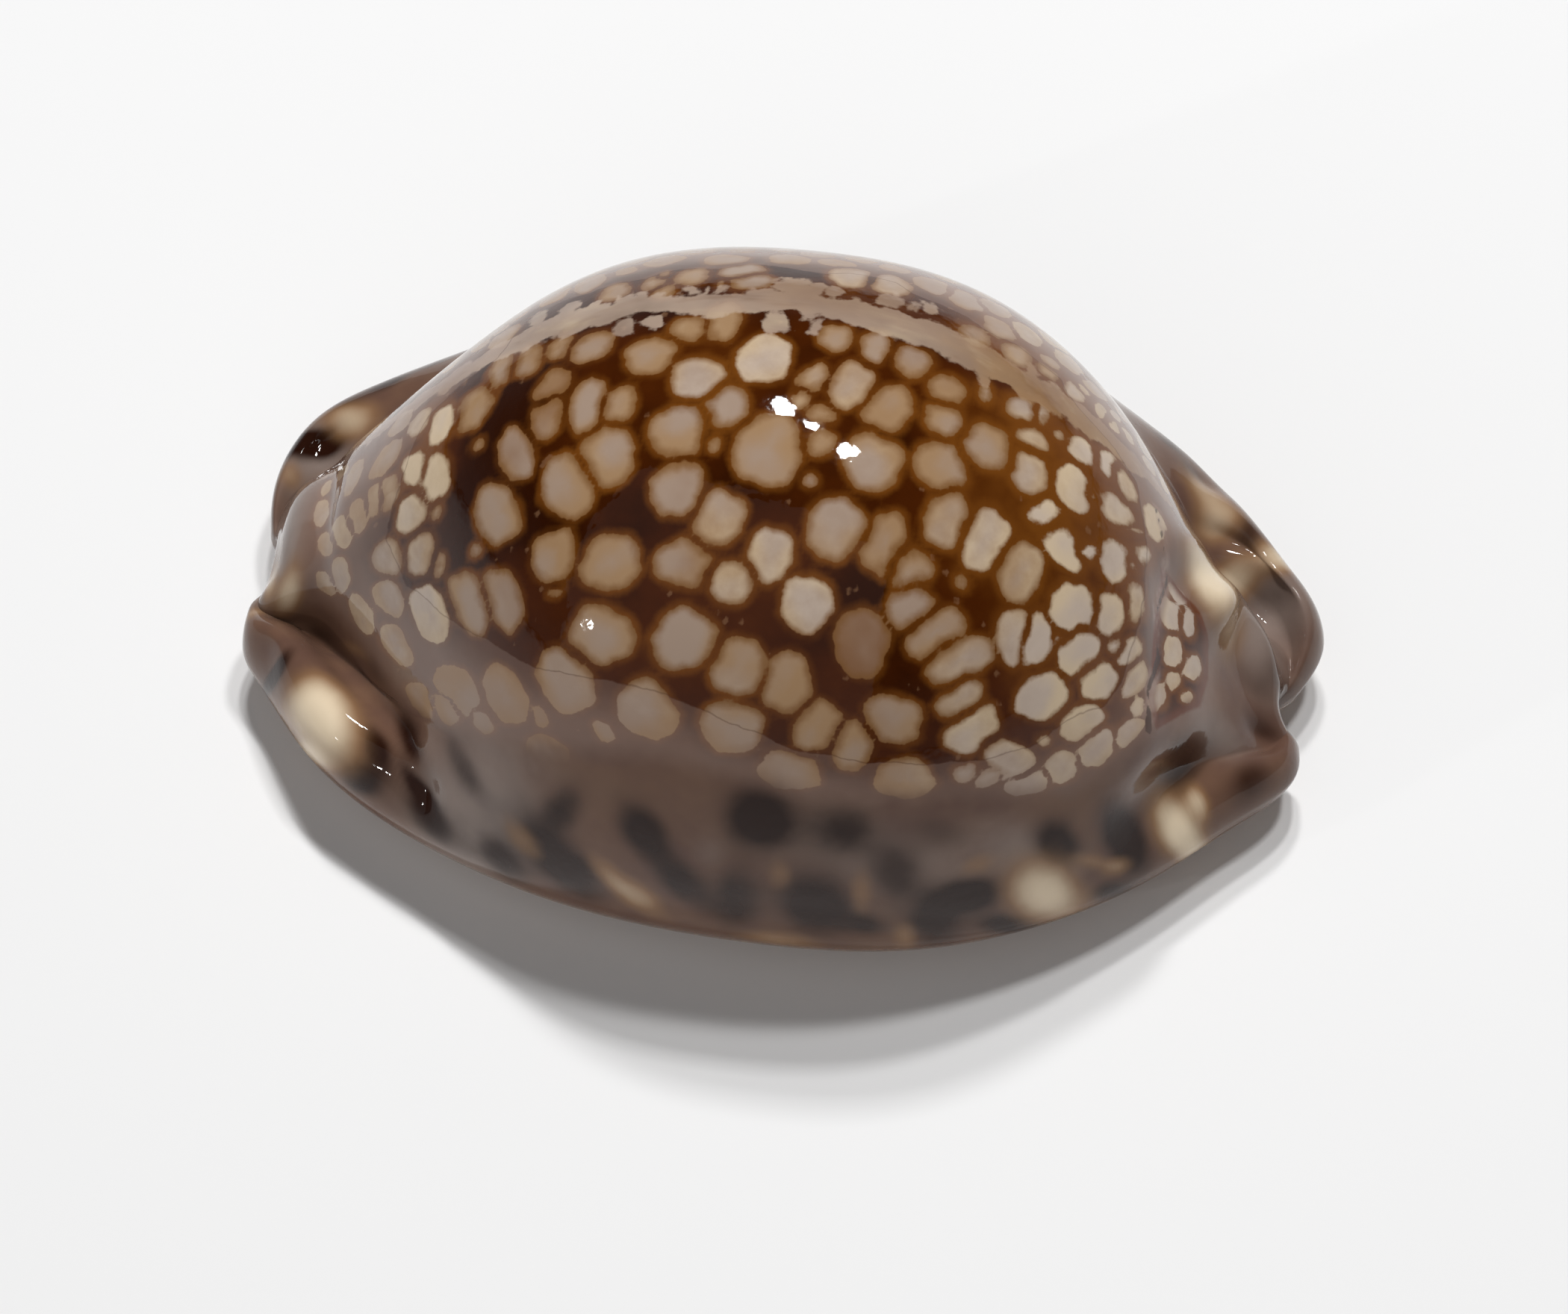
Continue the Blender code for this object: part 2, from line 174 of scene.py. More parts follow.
# Pale spots of the back: along, round, half length, half width, turn in degrees and tone.
SPOTS = (
    (-10.6, 8.8, 1.15, .80, 85, -.2), (-8.4, 9.2, .95, .62, 90, 0), (-7.7, 8.1, .80, .62, 90, 0),
    (-8.0, 10.4, .55, .22, 80, -.1), (-6.3, 9.8, 1.12, .92, 90, -.1), (-3.5, 10.6, 1.3, .85, 25, -.1),
    (-2.8, 9.1, 1.2, .85, 30, -.1), (2.6, 11.2, 1.6, 1.15, 90, .6), (4.9, 11.1, 1.5, 1.1, 90, .6),
    (11.2, 10.0, 1.35, .85, 95, .1), (10.0, 7.9, .98, .82, 90, -.4), (12.4, 7.9, 1.15, .85, 90, -.2),
    (14.3, 8.0, .72, .66, 90, -.1), (15.8, 7.7, 1.0, .58, 92, .1), (14.3, 9.3, .70, .50, 90, 0),
    (12.8, 11.9, 1.5, .80, 95, .2), (15.3, 12.1, 1.7, .85, 92, .1), (9.1, 12.5, 1.6, .95, 92, .1),
    (7.1, 13.1, 1.5, 1.0, 90, .2), (10.8, 13.7, 1.4, .90, 92, .1), (14.3, 14.6, 1.6, .90, 90, .2),
    (16.3, 8.9, .5, .32, 90, 0), (17.5, 8.0, 1.0, .30, 85, 0), (18.3, 9.6, .7, .3, 80, .1),
    (18.3, 7.6, .8, .32, 95, .1), (18.7, 12.5, 1.5, .45, 90, 0), (17.6, 14.2, 1.6, .5, 90, .1),
    (20.2, 11.0, 2.2, .45, 92, .2), (21.6, 8.6, 1.8, .35, 92, .1), (20.6, 15.0, 1.4, .5, 90, .1),
    (-4.7, 12.6, 1.2, 1.0, 0, 0), (-1.1, 13.1, 1.15, 1.0, 0, .2), (1.6, 13.4, 1.1, .8, 0, .2),
    (-8.4, 13.4, 1.3, 1.1, 60, 0), (-12.5, 11.6, 1.8, .85, 95, .1), (-14.6, 11.9, 2.2, .85, 95, .1),
    (-16.9, 11.6, 2.2, .75, 100, .1), (-16.9, 7.0, 1.3, .85, 85, .3), (-18.6, 13.0, 1.8, .5, 100, 0),
    (-20.4, 8.6, 2.4, .62, 97, .3), (-21.5, 9.0, 2.4, .45, 100, .2), (-22.5, 8.0, 2.2, .42, 100, .1),
    (-24.2, 9.5, 2.2, .5, 100, 0), (-25.8, 9.0, 1.8, .45, 100, 0), (-4.5, 8.7, .40, .17, 90, -.2),
    (-3.9, 4.9, 1.65, 1.0, 85, .2), (-5.6, 4.3, 1.1, .95, 0, .1), (-1.2, 2.1, 1.75, 1.45, 80, .8),
    (-7.6, 2.3, 1.35, 1.3, 0, -.1), (-4.7, .6, 1.45, 1.32, 0, .6), (-2.8, -1.3, 1.3, 1.15, 100, 0),
    (-10.7, -.85, 1.75, .95, 92, 0), (-8.8, -1.0, 1.1, .85, 88, .1), (-5.3, -2.8, 1.55, 1.45, 0, -.1),
    (-9.0, -4.1, 1.8, 1.35, -60, 0), (-12.9, .8, 1.15, .85, 60, -.4), (-12.9, -1.3, 1.3, .85, 90, -.4),
    (-14.4, -3.3, 1.75, .85, -65, -.2), (-11.1, -5.7, 2.0, 1.25, -60, -.1), (-11.2, 3.4, 1.3, 1.1, 20, -.1),
    (-12.9, 3.7, .9, .8, 90, -.1), (-14.7, 3.2, 1.3, .72, 90, -.4), (-16.4, 2.8, 1.6, .65, 88, -.4),
    (-17.4, .5, 1.55, 1.0, 75, -.2), (-19.4, .05, 1.3, .74, 92, .8), (-21.0, 1.1, .92, .68, 90, .4),
    (-20.8, -2.05, 1.05, .72, -65, .6), (-19.3, -3.3, 1.5, .85, -75, .7), (-20.7, -4.9, 1.2, .95, -80, .4),
    (-19.9, -8.0, 1.4, .92, 92, .3), (-19.0, -12.4, 2.2, 1.15, -68, .8), (-18.5, -9.1, .8, .33, 88, .2),
    (-19.0, -5.5, .42, .24, 90, 0), (-22.2, -7.5, 1.6, .85, -66, -.1), (-22.0, -10.8, 1.75, .82, -65, 0),
    (-24.0, -11.7, 2.3, .55, -72, .2), (-25.6, -6.9, 1.9, .52, -80, .1), (-26.7, -6.8, 1.8, .36, -72, .1),
    (-25.7, -3.1, 1.55, .48, -68, .2), (-26.8, -2.8, 1.3, .38, -72, 0), (-24.5, -2.8, 1.35, .48, -75, 0),
    (-23.4, -2.5, 1.15, .48, -80, -.1), (-22.4, -2.7, 1.1, .6, -80, -.1), (-27.6, .2, 1.05, .42, -78, .1),
    (-25.3, .5, 1.1, .55, 90, -.1), (-23.0, -.1, 1.05, .85, 60, -.2), (-22.5, 2.3, 1.0, .62, 90, 0),
    (-27.7, 2.3, .75, .28, 90, .1), (-26.6, 2.4, .9, .28, -60, .1), (-24.6, 5.6, 1.3, .5, 95, 0),
    (-26.5, 5.8, 1.3, .4, 95, .1), (-21.4, -14.9, 2.0, .78, -62, 0), (-15.1, -6.6, 1.95, 1.15, -62, 0),
    (-11.4, -9.6, 1.5, 1.2, -80, 0), (-8.1, -10.2, 1.65, 1.5, -15, 0), (-4.85, -6.2, 1.5, 1.4, 90, -.2),
    (-2.4, -7.8, 1.5, 1.3, 70, .3), (-4.0, -10.3, 1.55, 1.22, -10, -.3), (.65, -9.5, 1.4, 1.15, 85, .7),
    (-1.3, -11.2, 1.2, 1.1, 0, .6), (-16.4, -11.8, 2.2, 1.05, -65, -.2), (-14.2, -11.8, 2.1, .98, -66, -.3),
    (-8.2, -14.3, 1.9, 1.5, -30, .1), (-3.6, -14.5, 1.7, 1.6, 60, .1), (-.4, -15.9, 1.6, 1.35, 75, .2),
    (-10.1, -17.0, 2.15, 1.4, -58, .2), (-5.3, -18.7, 1.9, 1.45, -50, .2), (-.55, -19.4, 1.65, 1.45, 0, 0),
    (-16.9, -18.0, 2.0, 1.2, -55, -.1), (-13.7, -18.0, 2.1, 1.15, -63, -.1),
    (-15.2, -20.0, 1.0, .5, -60, -.2), (-17.7, -19.6, 1.2, .8, -60, -.1), (-19.5, -19.3, 1.4, .8, -62, -.2),
    (-11.5, -19.4, .68, .36, -62, -.2), (-7.7, -20.2, .75, .38, -50, .1), (-11.0, -21.8, 1.3, 1.0, -30, -.4),
    (-16.2, -8.5, .33, .24, 90, 0), (-16.8, -2.2, .3, .24, 90, -.2), (-11.1, -11.6, .4, .25, 0, 0),
    (2.5, 4.3, 1.05, .9, 80, .1), (4.7, 4.2, 1.2, .75, 90, .1), (6.9, 3.7, 1.15, 1.0, 90, -.3),
    (8.9, 2.4, .98, .95, 0, -.4), (9.0, .3, 1.05, .95, 90, -.2), (3.8, 1.0, 1.65, 1.15, 80, .5),
    (1.6, 1.0, 1.15, .62, 60, .4), (1.2, -.3, .7, .4, 80, .5), (5.9, .1, 1.55, 1.2, 60, -.2),
    (11.5, -.4, 1.35, 1.2, 70, -.3), (14.0, -.85, 1.3, .95, 85, 0), (13.9, 1.4, .85, .72, 0, -.1),
    (13.2, 3.1, .95, .82, 30, -.1), (14.2, 3.4, .9, .35, 90, 0), (16.4, -.35, 1.35, .95, 92, .3),
    (17.6, -.1, .34, .3, 0, .1), (16.6, 2.5, .9, .72, 85, .2), (15.4, 2.6, .34, .3, 0, 0),
    (18.2, 2.9, 1.0, .48, 85, .3), (19.3, 2.3, 1.1, .55, -60, .1), (21.2, 1.1, 1.2, .6, 95, .4),
    (19.0, -.1, 1.05, .85, -15, .2), (19.9, -.6, .8, .2, 30, .1), (15.2, -2.9, 1.05, .75, 50, .6),
    (16.2, -4.0, 1.3, 1.0, -40, .6), (17.6, -3.6, .75, .3, 40, .5), (19.2, -3.1, 1.25, .78, 80, .3),
    (20.2, -2.6, .34, .3, 0, .1), (20.7, -1.7, .7, .35, 70, .1), (11.0, 3.1, .6, .3, 90, -.2),
    (9.1, -2.6, 1.35, 1.3, 30, -.1), (5.5, -3.4, 1.65, 1.5, 60, .1), (2.6, -2.9, .8, .65, 60, 0),
    (2.4, -1.2, .75, .5, 0, .2), (-.2, -3.7, 2.1, 1.8, 95, 0), (9.9, -5.5, 1.65, 1.1, 72, .2),
    (12.0, -5.8, 1.85, 1.1, 68, .5), (14.1, -6.7, 1.9, 1.0, 72, 0), (2.3, -5.2, .32, .26, 0, -.1),
    (4.0, -7.5, 1.7, 1.45, 60, .2), (6.7, -7.8, 1.75, 1.05, 78, -.2), (8.2, -8.8, 1.2, 1.05, 40, -.2),
    (8.4, -10.8, 1.5, 1.0, 50, -.3), (9.9, -11.8, 1.95, .92, 50, -.2), (11.4, -12.9, 2.2, 1.0, 45, 0),
    (11.7, -15.1, 1.6, .85, 55, 0), (12.5, -16.7, 1.9, 1.05, 55, .3), (14.1, -10.4, 1.65, .85, 85, .3),
    (15.4, -10.0, 1.6, .75, 75, .4), (16.1, -13.2, 1.9, 1.0, 58, .4), (6.1, -13.4, 1.85, 1.4, 80, -.6),
    (2.3, -16.4, 1.7, 1.25, 85, .1), (2.9, -11.9, 1.5, 1.32, 75, .8), (8.2, -17.3, 1.5, 1.4, 0, -.1),
    (4.1, -18.7, 1.6, 1.05, 65, .1), (6.1, -19.5, 1.5, 1.0, 88, .1), (9.1, -20.9, 1.6, 1.2, 25, .2),
    (14.6, -18.0, 1.4, 1.25, 10, .3), (13.6, -19.5, 1.2, .5, 45, .1), (12.5, -19.7, .72, .6, 45, .1),
    (15.8, -19.3, 1.4, .68, 42, .1), (17.6, -17.4, 1.3, .72, 68, .1), (2.8, -21.7, 1.6, 1.15, 0, 0),
    (17.2, -7.2, 1.75, 1.0, 60, .4), (17.8, -9.5, 1.75, .82, 65, .4), (19.1, -10.6, 1.5, .78, 65, .3),
    (19.3, -6.2, 1.4, .75, 72, .3), (19.75, -7.9, .55, .3, 60, .1), (20.6, -7.8, 1.2, .4, 68, .2),
    (20.6, -4.7, 1.2, .5, 85, -.1), (21.1, -9.4, 1.5, .45, 72, .1), (21.5, -11.1, .75, .33, 85, .4),
    (18.4, -13.8, 1.7, .75, 60, .2), (19.4, -15.2, 1.75, .7, 65, .1), (21.1, -13.2, 1.55, .42, 66, .1),
    (16.4, -16.0, .36, .2, 60, .1), (16.7, -9.1, .34, .2, 45, .2), (11.0, -8.6, .26, .2, 90, -.2),
    (22.95, -1.8, .5, .42, 0, .4), (22.7, -3.4, 1.0, .55, 90, .3), (23.8, -2.9, .85, .3, 85, .3),
    (23.1, -5.6, 1.2, .42, 85, .2), (24.4, -5.5, 1.1, .36, 72, .2), (23.3, -7.6, .7, .3, 80, .1),
    (22.4, -9.8, 1.3, .4, 75, .1), (24.2, -8.2, .6, .2, 70, 0), (-3.2, -3.6, .4, .26, 90, -.2),
)

# Runs of pale colour that hang from the mantle line on both its sides.
RUNS = (
    (-14.9, 7.8, 1.0, .5, 80, -.3), (-13.2, 7.7, 1.1, .6, 90, -.3), (-11.6, 7.3, .75, .42, 90, 0),
    (-9.9, 7.4, .75, .8, 0, 0), (-8.9, 7.6, .8, .38, 90, 0), (-6.0, 8.0, .8, .6, 90, 0),
    (-5.2, 8.0, .7, .32, 90, 0), (-4.5, 8.1, .7, .45, 90, 0), (-.4, 8.9, 1.2, .95, 90, 0),
    (1.0, 8.8, .75, .4, 90, .1), (2.0, 8.5, .75, .6, 90, 0), (3.2, 8.0, .7, .45, 90, 0),
    (5.0, 9.0, 1.0, .9, 90, .3), (6.5, 8.9, .85, .5, 90, .2), (7.4, 9.2, .9, .7, 90, .1),
    (13.4, 6.9, .7, .45, 90, 0), (14.9, 6.6, .6, .4, 90, 0), (-9.3, 4.9, .7, .8, 0, 0),
    (-7.9, 5.0, .75, .7, 90, 0), (-4.2, 6.2, 1.0, .9, 90, .2), (1.4, 5.2, .8, .35, 90, 0),
    (10.9, 4.2, .8, .35, 95, 0), (16.9, 4.5, .5, .5, 0, 0), (-1.0, 5.2, 1.1, .9, 90, .2),
    (.9, 6.0, .6, .5, 90, .2), (19.4, 4.4, .6, .3, 90, 0),
)

# Mantle line: its route along the back, and its half width along the shell.
MANTLE_LINE = ((-29, 4.2), (-26, 4.0), (-24, 3.7), (-20, 3.9), (-17, 4.8), (-14.5, 5.8), (-12, 6.2),
               (-10, 6.6), (-8, 6.7), (-6, 6.6), (-4, 6.5), (-2, 6.9), (0, 7.1), (3, 6.9), (6, 6.6), (8, 6.4),
               (10, 6.0), (13, 5.4), (16, 5.3), (19, 5.2), (22, 5.6))
MANTLE_HALF_WIDTH = ((-29, .5), (-24, .7), (-18, 1.1), (-14, 1.3), (-8, 1.0), (0, 1.15), (8, 1.35), (14, 1.3),
                     (20, 1.0), (22, .7))

# Edge of the bare middle of the back. Outside it a painted reflection of the bright room lies over the net as
# a pale mauve veil.
BARE_BACK = ((-22.3, -5), (-21.7, -2.5), (-21.2, -.8), (-20.4, 1.3), (-18.6, 2.9), (-16.8, 4.1),
             (-16.1, 6.6), (-15.6, 8.2), (-15, 8.9), (-13.8, 9.3), (-12.2, 9.4), (-10.6, 10.0), (-9, 10.1),
             (-7.9, 10.9), (-6.6, 11.1), (-5.1, 10.8), (-3.4, 11.6), (-1.6, 11.4), (1.2, 11.0), (2.4, 11.7),
             (5.2, 11.6), (6.2, 10.5), (8, 10.1), (9.4, 9.8), (10.4, 9.1), (11.2, 8.8), (12.3, 9.1),
             (13.5, 8.5), (15, 7.9), (15.4, 6.9), (16.4, 6.0), (18.6, 4.7), (19.9, 3.2), (20.4, 1.2),
             (20.9, -1), (21.0, -3.5), (20.8, -7), (20.3, -10), (19.6, -12), (18.2, -13.4), (17, -15),
             (15.6, -16.9), (13, -18.6), (10.3, -19.6), (7, -20.3), (3, -20.3), (0, -19.4), (-4, -17.8),
             (-7, -17.0), (-9, -16.8), (-12, -16.2), (-14, -15), (-16, -13.9), (-17.9, -12.6), (-20.8, -10),
             (-21.4, -8.3), (-22.4, -6))

# Edge of the netted back all round, where the callus of the margins takes over.
NETTED_BACK = ((-28.2, -4), (-27.5, -8), (-26, -10.5), (-24, -14.5), (-22.5, -17.5), (-20.5, -20.3),
               (-18, -21.2), (-14, -21.3), (-8, -21.9), (-4, -21.8), (0, -22.6), (4, -23.3), (8, -22.8),
               (12, -21.4), (15, -20.6), (18, -19.0), (20, -17), (21.5, -15), (23, -12.5), (24.3, -10.5),
               (25.4, -8), (25.6, -5), (25.3, -2.2), (24, -1.2), (22.9, -.9), (22.6, 1), (22.7, 5),
               (22.8, 10), (22.5, 15), (21, 18), (18, 20.5), (12, 22.5), (4, 23.3), (-4, 23.3), (-12, 22.5),
               (-18, 20.5), (-22, 17.5), (-24.5, 14.5), (-27, 11), (-28.6, 7), (-29, 3), (-28.7, 0))

# Edge of the spire.
SPIRE = ((21.9, -1.2), (22.8, -1.1), (24.2, -1.6), (25.2, -2.6), (25.4, -5), (25.1, -8), (24, -10),
         (22.6, -12.3), (22, -10), (21.8, -6))

# Seam in front of the spire, as a route.
SEAM = ((21.2, 2.4), (21.7, .6), (22.3, -1.6), (21.9, -4.0), (22.3, -6.8), (21.9, -9.6), (22.2, -12.6))

# Where the net is thin and golden, and where it is thick and deep.
GOLDEN_NET = (
    (17, 1, 7.5, 7, 90, .95), (13, 9, 5, 6, 0, .7), (-20, 0, 1.5, 4, 0, .9), (-4, 1, 2.6, 2.2, 0, .45),
    (2, 8.5, 6, 2.5, 0, .5), (12, -6, 3.5, 3.5, 0, .4), (-3, -15, 5, 3.5, 0, .3), (16, -12, 4, 4, 0, .4),
    (-14.5, 6.0, 2.0, 1.5, 0, .3), (3, -9, 4, 3, 0, .25),
)
DEEP_NET = (
    (-15.3, -1.5, 2.3, 7, -10, .95), (-12.5, -7.5, 3.5, 2, -30, .7), (-1, -6.2, 4, 2, 0, .4),
    (6, -11, 2.6, 4, 20, .6), (2, -14, 3, 1.2, 0, .4), (-7, 6.2, 5, .9, 0, .4), (9, 5, 4, 1.2, 0, .5),
    (6.5, -1.8, 1.6, 1.6, 0, .4), (-6.5, -7.8, 1.6, 2.6, 0, .4), (0, 10.8, 8, 1.2, 0, .5),
)

# Blurred marks of the callus and of the base: along, round, half length, half width, turn in degrees and
# strength. Three of the dark ones are painted shade, noted beside them.
DARK_MARKS_AND_SHADE = (
    (-10, -26, 1.7, 1.0, 75, .55), (-9.8, -31.3, 3.6, 1.5, -62, .85), (-5.2, -27.3, 1.8, 1.1, -70, .75),
    (-3.3, -31.0, 3.3, 1.3, -62, .8), (-18.5, -27.3, 2.6, .9, -60, .6), (-16.3, -23.6, 2.2, .7, -62, .5),
    (-13.5, -31.2, 2.2, 1.0, -60, .5), (-22.9, -25.6, 1.4, 1.2, 0, .8), (-22.0, -23.3, 1.4, .7, -60, .8),
    (-20.2, -22.1, 1.5, .6, -60, .8), (-19.2, -25.4, 1.5, .35, -55, .7), (1.3, -25.2, 2.0, 1.6, 90, .8),
    (6.3, -25.2, 2.0, 1.6, 60, .5), (11, -24, 1.6, 1.4, 0, .45), (9, -27.8, 2.4, 1.3, 90, .65),
    (4.7, -32, 2.7, 1.9, 90, .95), (.3, -32.5, 2.8, 1.3, 90, .7), (11.5, -32.5, 2.6, 1.4, 90, .7),
    (13.3, -29.3, 2.0, 1.2, 45, 1), (15.6, -32.0, 1.5, 1.2, 0, .75), (7.4, -33.6, 1.2, 1.0, 0, .5),
    (17.8, -23.6, 1.7, 1.1, 100, .7), (21.6, -22, 2.6, 1.15, 105, 1), (21.2, -27.2, 1.4, 1.0, 45, .6),
    (23.8, -15.6, 2.2, .8, 68, .45), (24.7, -12.5, 2.2, .8, 70, .45), (28.6, -12.4, 2.2, 1.0, 75, .5),
    # (27.6, -1.0) is painted shade in the valley at the foot of the knob.
    (29.1, -4.2, 1.5, 1.0, 80, .55), (27.6, -1.0, 1.5, 1.0, 0, .3), (-29.3, -18.2, 1.4, .8, 60, 1),
    (-27.6, -13.0, 2.2, .8, -50, .3), (-22.6, -17.6, 1.8, .8, -60, .4), (-31.0, 13.0, 1.6, .8, 75, .9),
    # (28.5, 12.2) is painted shade deepening the brown hollow beyond the knob.
    (-29.4, 14.5, 2.2, .7, 62, 1), (28.5, 12.2, 2.0, 1.4, 60, .3), (-23.2, 24.6, 1.5, .9, 40, .55),
    (-20.3, 27.2, 1.9, .8, 62, .75), (-17.2, 25.0, 1.2, .8, 80, .4), (-14.8, 29.6, 2.9, 1.1, 74, .8),
    (-11.2, 26.2, 1.5, 1.0, 90, .35), (-9.4, 31.8, 1.7, .9, 96, .6), (-6.6, 28.3, 2.6, 1.5, 84, .7),
    (-2.9, 31.4, 1.9, 1.1, 100, .45), (-1.2, 26.8, 1.4, 1.2, 0, .5), (1.9, 30.6, 3.2, 1.2, 86, .8),
    (5.6, 27.6, 1.6, 1.1, 80, .45), (7.6, 32.4, 1.8, 1.0, 92, .7), (10.6, 29.4, 2.5, 1.5, 96, .65),
    (14.8, 27.0, 1.3, .9, 80, .4), (15.5, 31.2, 2.0, 1.0, 104, .75), (19.0, 28.2, 2.6, 1.2, 108, .7),
    (21.8, 24.2, 1.3, .9, 70, .5), (23.6, 21.0, 1.8, .8, 110, .6), (27.0, 17.0, 1.6, .7, 112, .5),
    (-26.1, 22.2, 1.9, .8, 50, .7), (-28.4, 19.2, 1.3, .8, 60, .45), (-30.3, 20.5, 1.5, .8, 60, .55),
    # This last mark is painted shade on the underside of the lobe at the spire end.
    (29.8, 1.2, 2.2, 1.1, 60, .4),
)
PALE_MARKS = (
    (-25.9, -22.4, 3.2, 2.4, -50, 1), (-26.2, -25.6, 1.5, 1.3, 0, .8), (24.8, -20, 3.4, 1.7, 108, .95),
    (17.4, -28.2, 3.3, 2.4, 100, .85), (-5.4, -33.6, 2.6, 1.2, -62, .45), (2.6, -36.6, 1.2, 2.6, 90, .4),
    (25.0, 1.4, 3.0, 1.9, 90, .97), (-29.2, -5.5, 2.8, 1.1, 85, .65), (25.0, 17.6, 2.2, 1.6, 60, .5),
    (26.3, 13.2, 2.2, 1.4, 60, .75), (24.2, 20.2, 2.4, 1.5, -50, .5), (25.6, -16.5, 1.6, .8, 100, .6),
    (-30.6, -3.0, 2.4, .5, 88, .5), (-31.4, -8.5, 1.4, .8, 90, .4), (-31.0, 9.5, 1.6, .8, 80, .4),
    (-24.6, -15.4, 1.6, .7, -50, .35), (-12.4, -29.0, 2.4, .9, -62, .3), (-7.2, -31.6, 2.6, .8, -64, .36),
    (2.6, -29.6, 1.6, .9, 90, .3), (7.2, -30.2, 2.4, .8, 90, .34), (13.4, -26.4, 1.4, .8, 60, .3),
    (9.8, -34.6, 1.8, .8, 90, .36), (21.4, -24.6, 1.4, .8, 60, .4), (-28.6, 11.0, 2.0, .9, 70, .55),
    (-27.8, 17.8, 2.4, 1.5, 50, .6), (-20, 30, 2.2, 1.5, 40, .5), (21.5, 30.5, 2.4, 1.5, -40, .6),
    (9.5, 34.5, 2.2, 1.2, 90, .35), (-5.5, 35, 2.0, 1.4, 90, .35), (-12.5, 28.2, 1.8, .6, 80, .45),
    (4.2, 33.0, 1.6, .6, 90, .4), (12.8, 29.9, 2.0, .6, 96, .45), (17.2, 26.0, 1.3, .7, 60, .4),
    (-22.0, 29.4, 1.8, .8, 55, .45), (29.0, 16.0, 1.8, 1.2, 60, .7), (20, -24.5, 1.2, .8, 0, .35),
)
# Milky marks: pale grey clouds of the callus; on the back they also thicken the painted reflection.
MILKY_MARKS = (
    (-15.5, -27.5, 4.5, 6.5, 0, .9), (-12, 30, 5, 4, 0, .4), (16.5, -25, 3.5, 2.5, -40, .6),
    (-1.5, -28.5, 1.6, 1.2, 80, .3), (26.5, -9, 3.0, 2.6, 60, .6), (-30.4, -1.5, 2.0, 6.5, 0, .95),
    (29.3, 11.5, 2.6, 5.5, 0, .8), (10, 30, 5, 3, 0, .35), (20, 8, 4.5, 7, 0, .8), (0, 14, 17, 3.2, 0, .6),
    (-20, 12, 6, 4.5, 0, .4), (9, -27, 8, 4, 0, .5), (-13, 24.5, 9, 4, 0, .35), (9, 25, 9, 4, 0, .35),
    (2, 36, 22, 3, 0, .5), (28.2, 2.5, 2.4, 5.0, 0, .8), (-29.5, 12, 3.0, 5.5, 0, .8),
)
BASE_MARKS = (
    (-3, -50, 8.0, 3.4, 0, .8),
)
BLUR_EDGE = 1.1
DARK_SPREAD = 1.22

# Form of a spot: how square its oval is, and its waves, as turns round it and depth.
SPOT_SQUARENESS = 2.35
SPOT_WAVES = ((3, 0.05), (5, 0.035), (9, 0.018))
SPOT_REACH = 3.0
NONE_NEAR = 9.0

# Spots of the far side: where they lie along the shell and round it, the stretch that keeps the spots
# placed above, how many are tried, and how close they may come to each other.
FAR_ALONG = (-27.5, 23.6)
FAR_ROUND = (7.4, 25)
KEPT_ALONG = (-17, 15.5)
KEPT_ROUND = 11.5
NEIGHBOURS_FROM = 5
FAR_TRIES = 9000
FAR_GAP = 0.22
FAR_CLOSENESS = 0.93

# Their size as a share, stretch, turn in degrees and tone, each between two values, and how much smaller
# they are at the end.
FAR_SIZE = (0.62, 1.12)
FAR_STRETCH = (1.0, 1.22)
FAR_TURN = (80, 104)
FAR_TONE = (-0.3, 0.4)
END_SHRINKING = 0.35
END_ALONG = 27

# Specks of the net: where they lie, how many are tried, their size, length and reach, and the net left
# round them.
SPECKS_ALONG = (-24, 24)
SPECKS_ROUND = (-21, 22)
SPECK_TRIES = 520
SPECK_SIZE = (0.07, 0.2)
SPECK_LENGTH = 0.8
SPECK_REACH = 1.5
SPECK_GAP = 0.35

# Where something grows, over what run, and by how much: flatness of the far spots and paleness of all spots
# towards the ends in millimetres, the underside's colour in degrees, and the cavity's in depths of the wall.
# The paleness towards the ends is painted light: it stands for the stronger light on both ends.
FLATTER_ENDS = (12, 12, 0.62)
PAINTED_LIGHT_REAR = (6, 12, 0.8)
PAINTED_LIGHT_FRONT = (15, 7, 0.5)
UNDERSIDE = (92, 36, 1)
CAVITY = (0, 5 / 6, 1)

# Enamel: a weak matt body under a clear coat, and the ripple of the coat.
GLOSS = {"Roughness": 0.45, "Specular IOR Level": 0.0, "Coat Weight": 1.0, "Coat Roughness": 0.04,
         "Coat IOR": 1.29}
RIPPLE_STRENGTH = 0.10
RIPPLE_HEIGHT = 0.0002

# Studio, in metres.
FLOOR_HALF_SIZE = 3.0
MATT = {"Roughness": 0.9, "Specular IOR Level": 0.1}
AIR_COLOUR = (0.97, 0.98, 1.0, 1)
DARK_FROM = 0.45
LIT_PLACE = (0.0, 0.0, 0.015)
AIMED_AT = (0.0008, -0.0046, 0.011)
SENSOR_WIDTH = 36
CLIP_START = 0.01
# Lights: name, place, length and width, the setting that holds their power, and their share of it.
LIGHTS = (
    ("key_left", (-0.055, 0.28, 0.60), (0.055, 0.055), "key_light", 1 / 3),
    ("key_middle", (0.02, 0.225, 0.63), (0.04, 0.04), "key_light", 1 / 3),
    ("key_right", (0.13, 0.14, 0.63), (0.06, 0.06), "key_light", 1 / 3),
    ("front_light", (-0.42, -0.33, 0.18), (0.012, 0.02), "front_light", 1),
    ("fill_light", (-0.2, -0.55, 0.5), (1.3, 1.3), "fill_light", 1),
)


def length(name, description, default, least):
    """A length property."""
    return FloatProperty(name=name, description=description, default=default, min=least, unit="LENGTH")


